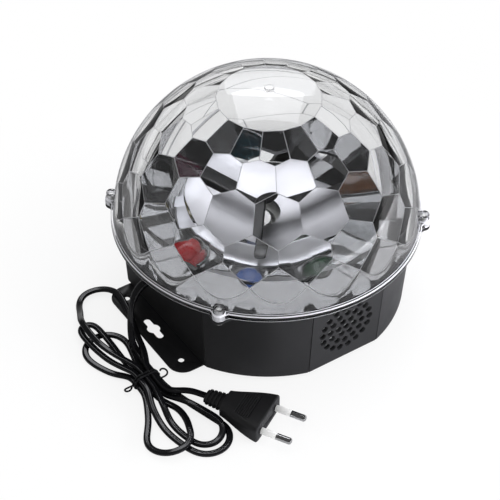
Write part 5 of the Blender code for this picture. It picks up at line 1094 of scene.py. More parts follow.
class PARTYLIGHT_OT_deck(Operator):
    """Glossy deck with a raised ring at each lens, and the silver dish in its middle"""

    bl_idname = "party_light.deck"
    bl_label = "Deck and dish"

    def execute(self, context):
        lights = context.scene.party_light.lights
        deck = self.ring(lights)
        gloss = moulded("deck_look", lights.deck, 0.03, grain=0.0, IOR=DECK_INDEX)
        dress(creased(deck), gloss, "deck_plastic", "deck_bezel")
        silver = metal("silvered_look", lights.silver, 0.40, scale=SILVER_MARK_SCALE, depth=0.0)
        dress(self.dish(lights), silver, "silvered_plastic", "reflector_dish")
        return {"FINISHED"}

    @staticmethod
    def ring(lights):
        """The deck with its lens holes, a raised collar round each and the posts under it."""
        bore = lights.deck_bore
        corners = [(bore, DECK_BOTTOM), (DECK_RADIUS, DECK_BOTTOM), (DECK_RADIUS, DECK_TOP), (bore, DECK_TOP)]
        deck = Shape(ringed(corners, DECK_SEGMENTS, DECK_ROUND), looped=True).object("deck_ring")
        holes, collars, posts = Shape(), Shape(), Shape()
        hole = lights.lens_radius + LENS_HOLE_CLEARANCE
        cut = rod(hole, DECK_BOTTOM - CUT_OVERRUN, DECK_TOP + CUT_OVERRUN)
        low, top = DECK_TOP - COLLAR_SUNK, DECK_TOP + COLLAR_RISE
        outer, inner = (hole + reach for reach in COLLAR_TOP)
        collar = [(hole, low), (hole + COLLAR_WIDTH, low), (outer, top), (inner, top)]
        for x, y in around(lights.lens_circle, len(LENS_NAMES), LENS_PHASE):
            holes.add(turned(cut, DISC_SEGMENTS, shifted(x, y)))
            collars.add(ringed(collar, DISC_SEGMENTS, DECK_ROUND, shifted(x, y)), looped=True)
        deck = combined(deck, "DIFFERENCE", holes.object("lens_holes"))
        deck = combined(deck, "UNION", collars.object("collars"))
        post = rod(DECK_POST_RADIUS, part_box("deck_bezel")[0][2], DECK_BOTTOM + DECK_POST_OVERLAP)
        circle, phase = lights.lens_circle + DECK_POST_OFFSET, LENS_PHASE + math.pi / len(LENS_NAMES)
        for x, y in around(circle, DECK_POST_COUNT, phase):
            posts.add(turned(post, HOLE_SEGMENTS, shifted(x, y)))
        return combined(deck, "UNION", posts.object("deck_posts"))

    @staticmethod
    def dish(lights):
        """A shallow bowl with a flat rim: its depth follows a quarter of a sine from the rim inwards."""
        bottom = DECK_TOP + GAP
        top = bottom + DISH_THICKNESS
        rim, inner = lights.dish_radius, lights.dish_radius - DISH_RIM_WIDTH
        bowl = np.linspace(0, 1, DISH_STEPS)
        radius = inner + (DISH_FLOOR_RADIUS - inner) * bowl
        drop = -DISH_DEPTH * np.sin(bowl * QUARTER)
        upper = np.column_stack([radius, top + drop])
        lower = np.column_stack([radius, bottom + drop])[::-1]
        floor = upper[-1][1]
        profile = np.vstack([
            rounded([(inner, bottom), (rim, bottom), (rim, top), (inner, top)], DISH_ROUND),
            upper[1:],
            [(DISH_BORE, floor), (DISH_BORE, floor - DISH_THICKNESS)],
            lower[:-1],
        ])
        return Shape(turned(profile, DISH_SEGMENTS), looped=True).object("silver_dish")


LENS_POCKET, LENS_POCKET_DEPTH, LENS_FLANGE, LENS_FLANGE_THICKNESS = 0.0044, 0.0034, 0.0090, 0.0014
LENS_ROUND, LENS_STEPS = 0.0002, 11


class PARTYLIGHT_OT_lenses(Operator):
    """Nine domed lenses, each in its own colour"""

    bl_idname = "party_light.lenses"
    bl_label = "Lenses"

    def execute(self, context):
        lights = context.scene.party_light.lights
        swell = np.linspace(0, QUARTER, LENS_STEPS)
        radius = lights.lens_radius
        dome = np.column_stack([radius * np.cos(swell), DECK_TOP + lights.lens_height * np.sin(swell)])
        dome[-1, 0] = 0.0
        low, roof = LENS_BOTTOM, LENS_BOTTOM + LENS_POCKET_DEPTH
        shoulder = low + LENS_FLANGE_THICKNESS
        foot = [(0, roof), (LENS_POCKET, roof), (LENS_POCKET, low), (LENS_FLANGE, low)]
        foot += [(LENS_FLANGE, shoulder), (radius, shoulder), dome[0]]
        profile = np.vstack([rounded(foot, LENS_ROUND, 2)[:-1], dome])
        for name, (x, y) in zip(LENS_NAMES, around(lights.lens_circle, len(LENS_NAMES), LENS_PHASE)):
            lens = Shape(turned(profile, BEAD_SEGMENTS, shifted(x, y))).object(f"{name}_lens_bead")
            look = coloured_lens(f"{name}_lens_look", getattr(lights, name))
            dress(lens, look, f"{name}_acrylic", f"{name}_lens")
        return {"FINISHED"}


SHAFT_RADIUS, SHAFT_ROUND = 0.0020, 0.0003
HUB_RADIUS, HUB_BEVEL, HUB_BEVEL_DEPTH, HUB_CAP, HUB_ROUND = 0.0070, 0.0012, 0.0010, 0.0015, 0.0005
ARM_WIDTH, ARM_THICKNESS, ARM_REACH, ARM_LIFT = 0.0060, 0.0024, 0.0520, 0.0015
ARM_CORNER, ARM_EDGE = 0.0012, 0.0006
ARM_COUNT, ARM_PHASE = 3, math.radians(20.0)
PRISM_THICKNESS, PRISM_RIDGE, PRISM_EASE = 0.0022, 0.0022, 0.0004
RIDGE_STEPS, RIDGE_CREASE = 12, math.radians(16)


class PARTYLIGHT_OT_rotor(Operator):
    """What the motor turns: shaft, three-armed spider and clear prism ring"""

    bl_idname = "party_light.rotor"
    bl_label = "Rotor"

    def execute(self, context):
        lights = context.scene.party_light.lights
        profile = rod(SHAFT_RADIUS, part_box("rotor_shaft")[0][2], SHAFT_TOP)
        shaft = Shape(turned(rounded(profile, SHAFT_ROUND), BORE_SEGMENTS)).object("motor_shaft")
        ground = metal("shaft_look", (0.72, 0.72, 0.72), 0.15, stretch=(1, 1, 0.05))
        dress(shaft, ground, "shaft_steel", "rotor_shaft", body="rotor")
        black = moulded("spider_look", (0.010, 0.010, 0.011), 0.30, FINE_GRAIN)
        dress(creased(self.spider()), black, "spider_plastic", "rotor_spider", body="rotor")
        crystal = clear_paint("prism_look", (0.97, 0.98, 0.99), 0.01, PRISM_INDEX).material
        dress(self.prism_ring(lights), crystal, "prism_acrylic", "prism_ring", body="rotor")
        return {"FINISHED"}

    @staticmethod
    def spider():
        """A capped hub with three flat arms."""
        bore, top = SHAFT_RADIUS + GAP, SPIDER_TOP
        hub = [
            (bore, SPIDER_BOTTOM), (HUB_RADIUS, SPIDER_BOTTOM), (HUB_RADIUS, top - HUB_BEVEL_DEPTH),
            (HUB_RADIUS - HUB_BEVEL, top), (0, top), (0, top - HUB_CAP), (bore, top - HUB_CAP),
        ]
        hub = np.vstack([rounded(hub[:5], HUB_ROUND), hub[5:]])
        spider = Shape(turned(hub, DISC_SEGMENTS), looped=True).object("spider")
        arms = Shape()
        bottom = SPIDER_BOTTOM + ARM_LIFT
        root = (bore + HUB_RADIUS) / 2
        outline = rounded_box((ARM_REACH - root) / 2, ARM_WIDTH / 2, ARM_CORNER) + ((ARM_REACH + root) / 2, 0)
        for arm in range(ARM_COUNT):
            turn = np.array(Matrix.Rotation(ARM_PHASE + TURN * arm / ARM_COUNT, 4, "Z"))
            arms.add(slab(outline, bottom, bottom + ARM_THICKNESS, ARM_EDGE, 3, turn))
        return combined(spider, "UNION", arms.object("arms"))

    @staticmethod
    def prism_ring(lights):
        """A flat ring whose upper face rises and falls in straight ridges, a triangle wave of the angle."""
        number = lights.prism_ridges * RIDGE_STEPS
        angle = ARM_PHASE + TURN * np.arange(number) / number
        wave = np.abs(np.arange(number) / RIDGE_STEPS % 1.0 - 0.5)
        middle = PRISM_THICKNESS + PRISM_RIDGE * (1 - 2 * wave)
        inner, outer, ease = lights.prism_inner, lights.prism_outer, PRISM_EASE
        radii = (inner, inner, inner + ease, outer - ease, outer, outer, outer - ease, inner + ease)
        tops = (ease, -ease, 0, 0, -ease, ease, 0, 0)
        rows = []
        for place, (radius, shift) in enumerate(zip(radii, tops)):
            height = middle + shift if 1 <= place <= 4 else np.full(number, max(shift, 0.0))
            x, y = radius * np.cos(angle), radius * np.sin(angle)
            rows.append(np.column_stack([x, y, PRISM_BOTTOM + height]))
        return Shape(np.array(rows), looped=True).object("prism_crystal", RIDGE_CREASE)


class PARTYLIGHT_OT_electronics(Operator):
    """Looks of the boards, motor and what else lies inside the base"""

    bl_idname = "party_light.electronics"
    bl_label = "Electronics"

    def execute(self, context):
        coat(circuit_board("green_board_look", (0.02, 0.15, 0.06)), "power_board", "main_board")
        coat(moulded("white_board_look", (0.75, 0.76, 0.74), 0.40, FINE_GRAIN, variation=0.05), "led_board")
        coat(moulded("tray_look", (0.05, 0.05, 0.052), 0.6), "board_tray")
        coat(moulded("tape_look", (0.60, 0.46, 0.06), 0.5, variation=0.15), "transformer")
        coat(moulded("capacitor_look", (0.02, 0.02, 0.07), 0.3, SILKY_GRAIN), "capacitor")
        coat(metal("motor_look", (0.56, 0.56, 0.55), 0.3, stretch=(1, 1, 12)), "motor")
        coat(metal("motor_screw_look", (0.66, 0.66, 0.62), 0.3), "motor_screw_1", "motor_screw_2")
        return {"FINISHED"}


BUTTON_FLANGE_RADIUS, BUTTON_FLANGE_THICKNESS, BUTTON_ROUND = 0.0036, 0.0008, 0.0004
BUTTON_BEVEL, BUTTON_BEVEL_DEPTH, BUTTON_DISH_RADIUS, BUTTON_DISH_DEPTH = 0.0006, 0.0002, 0.0010, 0.0003
USB_SHEET, USB_INNER_CORNER, USB_MOUTH, USB_FLARE = 0.0004, 0.0004, 0.0006, 0.0003


class PARTYLIGHT_OT_controls(Operator):
    """Buttons, sockets and infrared window in the front flat"""

    bl_idname = "party_light.controls"
    bl_label = "Controls"

    def execute(self, context):
        self.buttons()
        tin = metal("socket_look", (0.70, 0.70, 0.68), 0.24)
        dress(creased(self.usb_shell()), tin, "socket_steel", "usb_socket")
        coat(moulded("tongue_look", (0.05, 0.16, 0.50), 0.4, SILKY_GRAIN, variation=0.08), "usb_tongue")
        coat(metal("card_look", (0.62, 0.62, 0.62), 0.3), "card_socket")
        window = moulded("infrared_look", (0.05, 0.004, 0.010), 0.08, POLISHED_GRAIN, Coat_Weight=0.8)
        coat(window, "infrared_receiver")
        return {"FINISHED"}

    @staticmethod
    def buttons():
        """Four round caps with a flange behind the wall and a shallow dish in the face."""
        gloss = moulded("button_look", (0.020, 0.020, 0.022), 0.22, SILKY_GRAIN, Coat_Weight=0.3)
        travel = BUTTON_BACK - BUTTON_FACE
        dish = travel - BUTTON_DISH_DEPTH
        profile = [
            (0, 0), (BUTTON_FLANGE_RADIUS, 0), (BUTTON_FLANGE_RADIUS, BUTTON_FLANGE_THICKNESS),
            (BUTTON_RADIUS, BUTTON_FLANGE_THICKNESS), (BUTTON_RADIUS, travel - BUTTON_BEVEL_DEPTH),
            (BUTTON_RADIUS - BUTTON_BEVEL, travel), (BUTTON_DISH_RADIUS, dish), (0, dish),
        ]
        profile = rounded(profile, BUTTON_ROUND, 4)
        for number, x in enumerate(BUTTON_X, 1):
            place = stood((x, BUTTON_BACK, BUTTON_HEIGHT), (0, -1, 0))
            button = Shape(turned(profile, BEAD_SEGMENTS, place)).object(f"push_button_{number}")
            dress(button, gloss, "button_plastic", f"button_{number}", body=f"button_{number}")

    @staticmethod
    def usb_shell():
        """A thin sheet box with a flared mouth."""
        low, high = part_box("usb_socket")
        x, z, half_x, half_z = face_of("usb_socket")
        place, run = stood((x, high[1], z), (0, -1, 0)), high[1] - low[1]
        outline = rounded_box(half_x, half_z, SOCKET_CORNER)
        socket = Shape(slab(outline, 0, run, SOCKET_EDGE, 2, place)).object("usb_shell")
        hollow = rounded_box(half_x - USB_SHEET, half_z - USB_SHEET, USB_INNER_CORNER)
        mouth = level(inset(hollow, -USB_FLARE), run + CUT_OVERRUN)
        rows = [level(hollow, USB_SHEET), level(hollow, run - USB_MOUTH), mouth]
        return combined(socket, "DIFFERENCE", Shape(moved(np.array(rows), place)).object("usb_hollow"))


# Route of the lead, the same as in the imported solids
CORD_RADIUS, CORD_LIFT, CORD_END, LAYER_HEIGHT = 0.0018, 0.0001, 0.0045, 0.0041
HANK_CENTRE = (-0.035, 0.106)
WAIST_HALF, WAIST_LIFT, SLOT_PITCH = 0.007, 0.0016, 0.0021
WAIST_SLOTS = {1: (3, 0), 2: (2, 1), 4: (1, 0), 3: (0, 1), 5: (-1, 0), 6: (-2, 1), 7: (-3, 0)}
LEAD_SLOT, PLUG_LEAD_SLOT = 7, 6
LOBE_SIDES = (-1, 1, -1, 1, -1, 1)
LOBE_SLOTS = ((7, 2), (2, 4), (4, 1), (1, 5), (5, 3), (3, 6))
LOBE_ARCS_DEG = ((270, -155), (85, -170), (262, -192), (100, -195), (268, -165), (62, -156))
LOBES = (
    (
        (-0.0887, 0.0996), 0.0130, (0, 0, 0),
        ((-0.0580, 0.0953, 0.0), (-0.0766, 0.0899, 0.0)),
        ((-0.0730, 0.1165, 0.1), (-0.0560, 0.1150, 0.9)),
    ),
    (
        (0.0180, 0.1145), 0.0050, (1.03, 1.0, 1.03),
        ((-0.0200, 0.1138, 1.3), (-0.0100, 0.1172, 1.1), (0.0060, 0.1195, 1.03)),
        ((0.0050, 0.1090, 1.0), (-0.0120, 0.1085, 0.1)),
    ),
    (
        (-0.0785, 0.1182), 0.0125, (1.1, 1.0, 0.0),
        ((-0.0520, 0.1064, 0.1), (-0.0620, 0.1023, 0.1), (-0.0725, 0.1032, 0.7)),
        ((-0.0600, 0.1205, 0.0),),
    ),
    (
        (0.0003, 0.1124), 0.0130, (0, 0, 0),
        ((-0.0175, 0.1195, 0.0),),
        ((-0.0190, 0.1033, 0.15),),
    ),
    (
        (-0.0853, 0.0984), 0.0100, (1.0, 0.15, 0),
        ((-0.0495, 0.1026, 0.25), (-0.0550, 0.1003, 0.75), (-0.0610, 0.0971, 1.08), (-0.0720, 0.0925, 1.1)),
        ((-0.0710, 0.1112, 0.25), (-0.0560, 0.1088, 1.3)),
    ),
    (
        (0.0354, 0.0966), 0.0128, (0.45, 0.35, 0.85),
        (
            (-0.0220, 0.1078, 1.65), (-0.0120, 0.1125, 1.95), (0.0030, 0.1165, 2.1),
            (0.0230, 0.1162, 2.15), (0.0325, 0.1120, 1.1),
        ),
        ((0.0190, 0.0866, 0.82), (0.0000, 0.0921, 0.78), (-0.0150, 0.0963, 1.25), (-0.0215, 0.0990, 1.45)),
    ),
)
MAINS_WAY = (
    (0.0046, 0.0885, 0.0325), (0.0025, 0.0935, 0.0240), (-0.0010, 0.0965, 0.0150), (-0.0050, 0.0985, 0.0095),
    (-0.0100, 0.0989, 0.0056), (-0.0150, 0.0991, 0.0040),
)
PLUG_WAY = ((-0.0533, 0.0989, 0.0083), (-0.0564, 0.0941, 0.0081), (-0.0597, 0.0901, 0.0073))
PLUG_FACE_CENTRE, PLUG_TURN = (-0.1003, 0.0660), math.radians(210)
PLUG_FACE, PLUG_REAR = (0.0310, 0.0125), (0.0157, 0.0095)
PLUG_BODY, RELIEF, RELIEF_RIBS = 0.027, 0.0120, 5
RELIEF_TIP, RELIEF_ROOT = (0.0100, 0.0072), (0.0122, 0.0088)
PIN_SPACING, PIN_RADIUS, PIN_CORE, PIN_LENGTH = 0.019, 0.0020, 0.0012, 0.019
PIN_SLEEVE, PIN_SUNK, PIN_TIP, PIN_TIP_STEPS, PIN_SLEEVE_ROUND = 0.010, 0.006, 0.0014, 7, 0.0002
SLEEVE_LENGTH, SLEEVE_START, SLEEVE_TAPER = 0.0165, (0.0058, 0.0052), 0.22
GRIP_PITCH, GRIP_DEPTH, GRIP_NEAR, GRIP_FAR = 0.00140, 0.00045, -0.0178, -0.0080
GRIP_HEIGHT_SHARE, GRIP_WIDTH_SHARE = 0.40, 0.34
RELIEF_GROOVE, RELIEF_SQUARENESS, RIB_SHARES = 0.0014, 2.3, (0.08, 0.92)
PLUG_ROUND, PLUG_ROUND_STEPS, PLUG_STATIONS, PLUG_POINTS = 0.0010, 5, 110, 64
PLUG_NECK, PLUG_NECK_BACK, PLUG_NECK_SQUARENESS = (0.0140, 0.0088), 0.0002, 3.0
PLUG_SQUARENESS, PLUG_SQUARENESS_GAIN, PLUG_CREASE = 4.0, 2.5, math.radians(28)
PLUG_SPREAD_POWER, PLUG_SPREAD_SHARES = 0.8, (0.35, 0.65)
BUSH_SHOULDER, BUSH_SHOULDER_DEPTH, BUSH_NOSE, BUSH_ROUND = 0.0062, 0.0014, 0.0036, 0.0003
BUSH_NOSE_STOPS = (
    (0.0030, 0.0004), (0.0028, 0.4 * BUSH_NOSE), (0.0027, 0.7 * BUSH_NOSE), (0.0024, BUSH_NOSE),
)
CURVE_STEPS, LOBE_STEPS = 12, 7
CORD_POINT_PITCH, SHORTEST_STEP = 0.0011, 0.0002


def rise(layer):
    return CORD_LIFT + CORD_RADIUS + LAYER_HEIGHT * np.asarray(layer, float)


def smooth(points, steps):
    """A centripetal curve through points.

    Between two of them it blends straight runs whose knots are spaced by the square root of their distance.
    """
    given = np.asarray(points, float)
    given = np.vstack([2 * given[0] - given[1], given, 2 * given[-1] - given[-2]])
    a, b, c, d = (given[i : len(given) - 3 + i, None] for i in range(4))
    knots = [np.linalg.norm(q - p, axis=-1, keepdims=True) ** 0.5 for p, q in ((a, b), (b, c), (c, d))]
    t0 = np.zeros_like(knots[0])
    t1, t2, t3 = t0 + knots[0], t0 + knots[0] + knots[1], t0 + sum(knots)
    t = t1 + (t2 - t1) * np.linspace(0, 1, steps, endpoint=False)[None, :, None]
    ab = ((t1 - t) * a + (t - t0) * b) / (t1 - t0)
    bc = ((t2 - t) * b + (t - t1) * c) / (t2 - t1)
    cd = ((t3 - t) * c + (t - t2) * d) / (t3 - t2)
    abc = ((t2 - t) * ab + (t - t0) * bc) / (t2 - t0)
    bcd = ((t3 - t) * bc + (t - t1) * cd) / (t3 - t1)
    curve = ((t2 - t) * abc + (t - t1) * bcd) / (t2 - t1)
    return np.vstack([curve.reshape(-1, 3), given[-2]])


def run_of(points):
    """Distance along a line of points."""
    return np.concatenate([[0], np.cumsum(np.linalg.norm(np.diff(points, axis=0), axis=1))])


def spaced(curve, number):
    run = run_of(curve)
    places = np.linspace(0, run[-1], number)
    return np.column_stack([np.interp(places, run, curve[:, axis]) for axis in range(3)])


def softened(points, passes):
    """Each point moved halfway to the middle of its neighbours, many times. Both ends stay."""
    points = points.copy()
    for _ in range(passes):
        points[1:-1] += 0.5 * ((points[:-2] + points[2:]) / 2 - points[1:-1])
    return points


def slot_point(slot, side):
    step, layer = WAIST_SLOTS[slot]
    x, y = HANK_CENTRE
    return np.array((x + side * WAIST_HALF, y + SLOT_PITCH * step, rise(layer) + WAIST_LIFT))


def lobe_points(side, slots, arc_deg, lobe):
    """One loop of the hank: out of the waist, round an arc at its tip and back into another slot."""
    centre, radius, layers, way_out, way_back = lobe
    shares = np.linspace(0, 1, LOBE_STEPS)
    turns = np.radians(arc_deg[0] + arc_deg[1] * shares)
    heights = rise(np.interp(shares, (0, 0.5, 1), layers))
    tip = np.column_stack([centre[0] + radius * np.cos(turns), centre[1] + radius * np.sin(turns), heights])
    to_middle = np.array((side * WAIST_HALF, 0, 0))
    first, last = (slot_point(slot, side) for slot in slots)
    out, back = ([(x, y, rise(layer)) for x, y, layer in way] for way in (way_out, way_back))
    points = [first - to_middle, first, *out, *tip, *back, last, last - to_middle]
    return smooth(points, CURVE_STEPS)[CURVE_STEPS:-CURVE_STEPS]


def plug_axes():
    forward = np.array((math.cos(PLUG_TURN), math.sin(PLUG_TURN), 0))
    return forward, np.array((-math.sin(PLUG_TURN), math.cos(PLUG_TURN), 0))


def plug_place():
    """A place whose Z axis runs along the pins from the middle of the plug's face."""
    forward, across = plug_axes()
    place = np.identity(4)
    place[:3, :3] = np.column_stack([across, UP, forward])
    place[:3, 3] = (*PLUG_FACE_CENTRE, CORD_LIFT + PLUG_FACE[1] / 2)
    return place


def cord_route():
    """The whole lead from its bush, through the hank, to the plug."""
    base = bpy.context.scene.party_light.base
    wall = flat_at(base.end_flat, BUSH_HEIGHT + BUSH_SHOULDER)
    start = np.array((BUSH_X, wall + BUSH_NOSE + 2 * GAP, BUSH_HEIGHT))
    hank_start = slot_point(LEAD_SLOT, 1) + (CORD_END + GAP, 0, 0)
    hank_end = slot_point(PLUG_LEAD_SLOT, -1) - (CORD_END + GAP, 0, 0)
    end, out = np.array((2 * CORD_RADIUS, 0, 0)), np.array((0, 2 * CORD_RADIUS, 0))
    forward, _ = plug_axes()
    place = plug_place()
    tip = place[:3, 3] - forward * (PLUG_BODY + RELIEF + GAP)
    mains = smooth([start, start + out, *MAINS_WAY, hank_start + end, hank_start], CURVE_STEPS)
    plug = [hank_end, hank_end - end / 2, *PLUG_WAY, tip - forward * 2 * CORD_RADIUS, tip]
    plug = smooth(plug, CURVE_STEPS)[CURVE_STEPS:-CURVE_STEPS]
    lobes = [lobe_points(*given) for given in zip(LOBE_SIDES, LOBE_SLOTS, LOBE_ARCS_DEG, LOBES)]
    route = np.vstack([[start], mains[CURVE_STEPS:-CURVE_STEPS], *lobes, plug, [tip]])
    keep = np.concatenate([[True], np.linalg.norm(np.diff(route, axis=0), axis=1) > SHORTEST_STEP])
    route = route[keep]
    return softened(spaced(route, round(run_of(route)[-1] / CORD_POINT_PITCH)), 6)


SETTLE_DROP, SETTLE_SHARE, SETTLE_FROM, SETTLE_RANGE = 0.0005, 0.27, 0.0019, 0.0075
HELD_HEIGHT, HELD_RANGE = 0.026, 0.014


def settled(height, loose):
    """Heights of a flat cord, which lies lower than a round one of the same width.

    They drop by a fixed step and a share of the height, less so well above the floor or where it is held.
    """
    drop = SETTLE_DROP + SETTLE_SHARE * np.clip(height - SETTLE_FROM, 0, SETTLE_RANGE)
    fade = np.clip((HELD_HEIGHT - height) / HELD_RANGE, 0, 1)
    return height - drop * fade * fade * (3 - 2 * fade) * loose


SECTION_POINTS, SIDE_POWER, FACE_POWER = 24, 0.85, 0.75
VALLEY_DEPTH_SHARE, VALLEY_WIDTH_SHARE = 0.16, 0.22


def flat_cord_section(width, thickness):
    """Two round cores side by side with a shallow valley between them on both faces."""
    angle = TURN * (np.arange(SECTION_POINTS) + 0.5) / SECTION_POINTS
    x, y = np.cos(angle), np.sin(angle)
    x, y = np.sign(x) * np.abs(x) ** SIDE_POWER, np.sign(y) * np.abs(y) ** FACE_POWER
    valley = VALLEY_DEPTH_SHARE * np.exp(-((x / VALLEY_WIDTH_SHARE) ** 2))
    return np.column_stack([width / 2 * x, thickness / 2 * y * (1 - valley)])


LOOSE_NEAR_PLUG, LOOSE_NEAR_BUSH = 0.030, 0.040
ROLL, ROLL_FROM, ROLL_RANGE, ROLL_PITCH, ROLL_ENDS = 0.35, 0.0022, 0.004, 0.019, 0.02
UP_PASSES, TUBE_CREASE = 30, math.radians(60)
TIE_TURNS, TIE_STEPS, TIE_PITCH, TIE_OFFSET, TIE_CLEARANCE, TIE_POINTS = 2, 40, 0.0019, 0.0032, 0.0001, 10
CURL_TURN, CURL_STEPS, CURL_RADIUS, CURL_CLIMB, CURL_OUT = math.radians(250), 16, 0.0022, 0.0030, 0.0122
TIE_PATH_POINTS, TIE_PASSES = 320, 12
SLEEVE_GROOVES, SLEEVE_GROOVE_SHARE, SLEEVE_GROOVE_WIDTH, SLEEVE_PLAIN_SHARE = 6, 0.10, 0.13, 0.05
SLEEVE_POINTS, SLEEVE_SQUARENESS = 32, 2.4


class PARTYLIGHT_OT_lead(Operator):
    """Flat mains lead in its hank, the twist tie and the bush in the back wall"""

    bl_idname = "party_light.lead"
    bl_label = "Mains lead"

    def execute(self, context):
        lead = context.scene.party_light.lead
        rubber = moulded("cord_look", lead.cord, 0.14, grain=0.0, Specular_IOR_Level=0.7)
        route = cord_route()
        run = run_of(route)
        left = run[-1] - run
        loose = np.clip(left / LOOSE_NEAR_PLUG, 0, 1) * np.clip(run / LOOSE_NEAR_BUSH, 0, 1)
        route[:, 2] = settled(route[:, 2], loose) + CORD_LIFT / 2
        route = softened(route, 4)
        run = run_of(route)
        lift = np.clip((route[:, 2] - ROLL_FROM) / ROLL_RANGE, 0, 1)
        ends = np.clip(run / ROLL_ENDS, 0, 1) * np.clip(left / ROLL_ENDS, 0, 1)
        roll = ROLL * lift * np.sin(run / ROLL_PITCH + 1.0) * ends
        ahead = unit(np.gradient(route, axis=0))
        up = unit(UP - (ahead @ UP)[:, None] * ahead)
        up = unit(softened(up, UP_PASSES))
        across = np.cross(ahead, up)
        up = np.cos(roll)[:, None] * up + np.sin(roll)[:, None] * across
        sleeve = self.sleeve(route, up, run)
        cord = Shape(carried(flat_cord_section(lead.width, lead.thickness), route, up))
        cord = cord.object("flat_cord", TUBE_CREASE)
        dress(cord, rubber, "cord_rubber", "mains_lead", "cord_hank", "plug_lead")

        thick = 2 * lead.tie_radius
        tie = Shape(carried(oval(thick, thick, TIE_POINTS), *self.tie_route(lead)))
        wire = moulded("tie_look", (0.010, 0.010, 0.011), 0.22, SILKY_GRAIN)
        tie = dress(tie.object("tie_wire", TUBE_CREASE), wire, "tie_plastic", "twist_tie")
        self.bush(context, rubber, sleeve)
        pieces = build_plug(lead)
        return {"FINISHED"}

    @staticmethod
    def tie_route(lead):
        """Twice round the waist, close to the cords, with a curl at each end."""
        centres = np.array([slot_point(slot, 0)[1:] for slot in WAIST_SLOTS])
        centres[:, 1] = settled(centres[:, 1], 1.0)
        reach_side = lead.width / 2 + lead.tie_radius
        reach_up = lead.thickness / 2 + lead.tie_radius + TIE_CLEARANCE
        step = np.arange(TIE_STEPS * TIE_TURNS + 1)
        turn = -QUARTER - TURN * step / TIE_STEPS
        out = np.column_stack([np.cos(turn), np.sin(turn)])
        nearest = centres[(out @ centres.T).argmax(axis=1)]
        around_waist = nearest + out * (reach_side, reach_up)
        x = HANK_CENTRE[0] + TIE_OFFSET - TIE_PITCH * step / TIE_STEPS
        ring = np.column_stack([x, around_waist])
        ring[step % TIE_STEPS == 0, 1] = HANK_CENTRE[1]
        shares = np.linspace(0, 1, CURL_STEPS)
        curl = CURL_TURN * shares
        sweep, along = CURL_RADIUS * (1 - np.cos(curl)), CURL_RADIUS * np.sin(curl)
        climb = CURL_CLIMB * shares
        low = lead.tie_radius + TIE_CLEARANCE
        ring[:, 2] = np.maximum(ring[:, 2], low)
        first = np.column_stack([x[0] - sweep, HANK_CENTRE[1] + CURL_OUT + along, low + climb])
        last = np.column_stack([x[-1] + sweep, HANK_CENTRE[1] - CURL_OUT - along, low + climb])
        points = np.vstack([first[::-1], ring[2:-2], last])
        path = softened(spaced(points, TIE_PATH_POINTS), TIE_PASSES)
        path[:, 2] = np.maximum(path[:, 2], low)
        ahead = unit(np.gradient(path, axis=0))
        up = np.cross(ahead, np.broadcast_to((1.0, 0.0, 0.0), ahead.shape)) + 0.02 * UP
        return path, unit(softened(up, 6))

    @staticmethod
    def sleeve(route, up, run):
        """A tapered relief over the first stretch of the cord, with five shallow grooves round it."""
        near = run < SLEEVE_LENGTH
        part = run[near] / SLEEVE_LENGTH
        off = (part * SLEEVE_GROOVES + 0.5) % 1.0 - 0.5
        grooved = (part > SLEEVE_PLAIN_SHARE) * (part < 1 - SLEEVE_PLAIN_SHARE)
        groove = 1 - SLEEVE_GROOVE_SHARE * np.exp(-((off / SLEEVE_GROOVE_WIDTH) ** 2)) * grooved
        section = oval(*SLEEVE_START, SLEEVE_POINTS, SLEEVE_SQUARENESS)
        return carried(section, route[near], up[near], (1 - SLEEVE_TAPER * part) * groove)

    @staticmethod
    def bush(context, rubber, sleeve):
        base = context.scene.party_light.base
        outer = flat_at(base.end_flat, BUSH_HEIGHT + BUSH_SHOULDER) + GAP
        inner = flat_at(base.end_flat - base.wall, BUSH_HEIGHT - BUSH_SHOULDER) - GAP
        depth = BUSH_SHOULDER_DEPTH
        reach = outer - inner + depth
        profile = [(0, 0), (BUSH_SHOULDER, 0), (BUSH_SHOULDER, depth), (BUSH_RADIUS, depth)]
        profile += [(BUSH_RADIUS, reach)]
        profile += [(radius, reach + onward) for radius, onward in BUSH_NOSE_STOPS]
        profile = rounded([*profile, (0, reach + BUSH_NOSE)], BUSH_ROUND)
        place = stood((BUSH_X, inner - depth, BUSH_HEIGHT), (0, 1, 0))
        made = Shape(turned(profile, BEAD_SEGMENTS, place), sleeve).object("cord_grommet")
        return dress(made, rubber, "cord_rubber", "cord_bush")


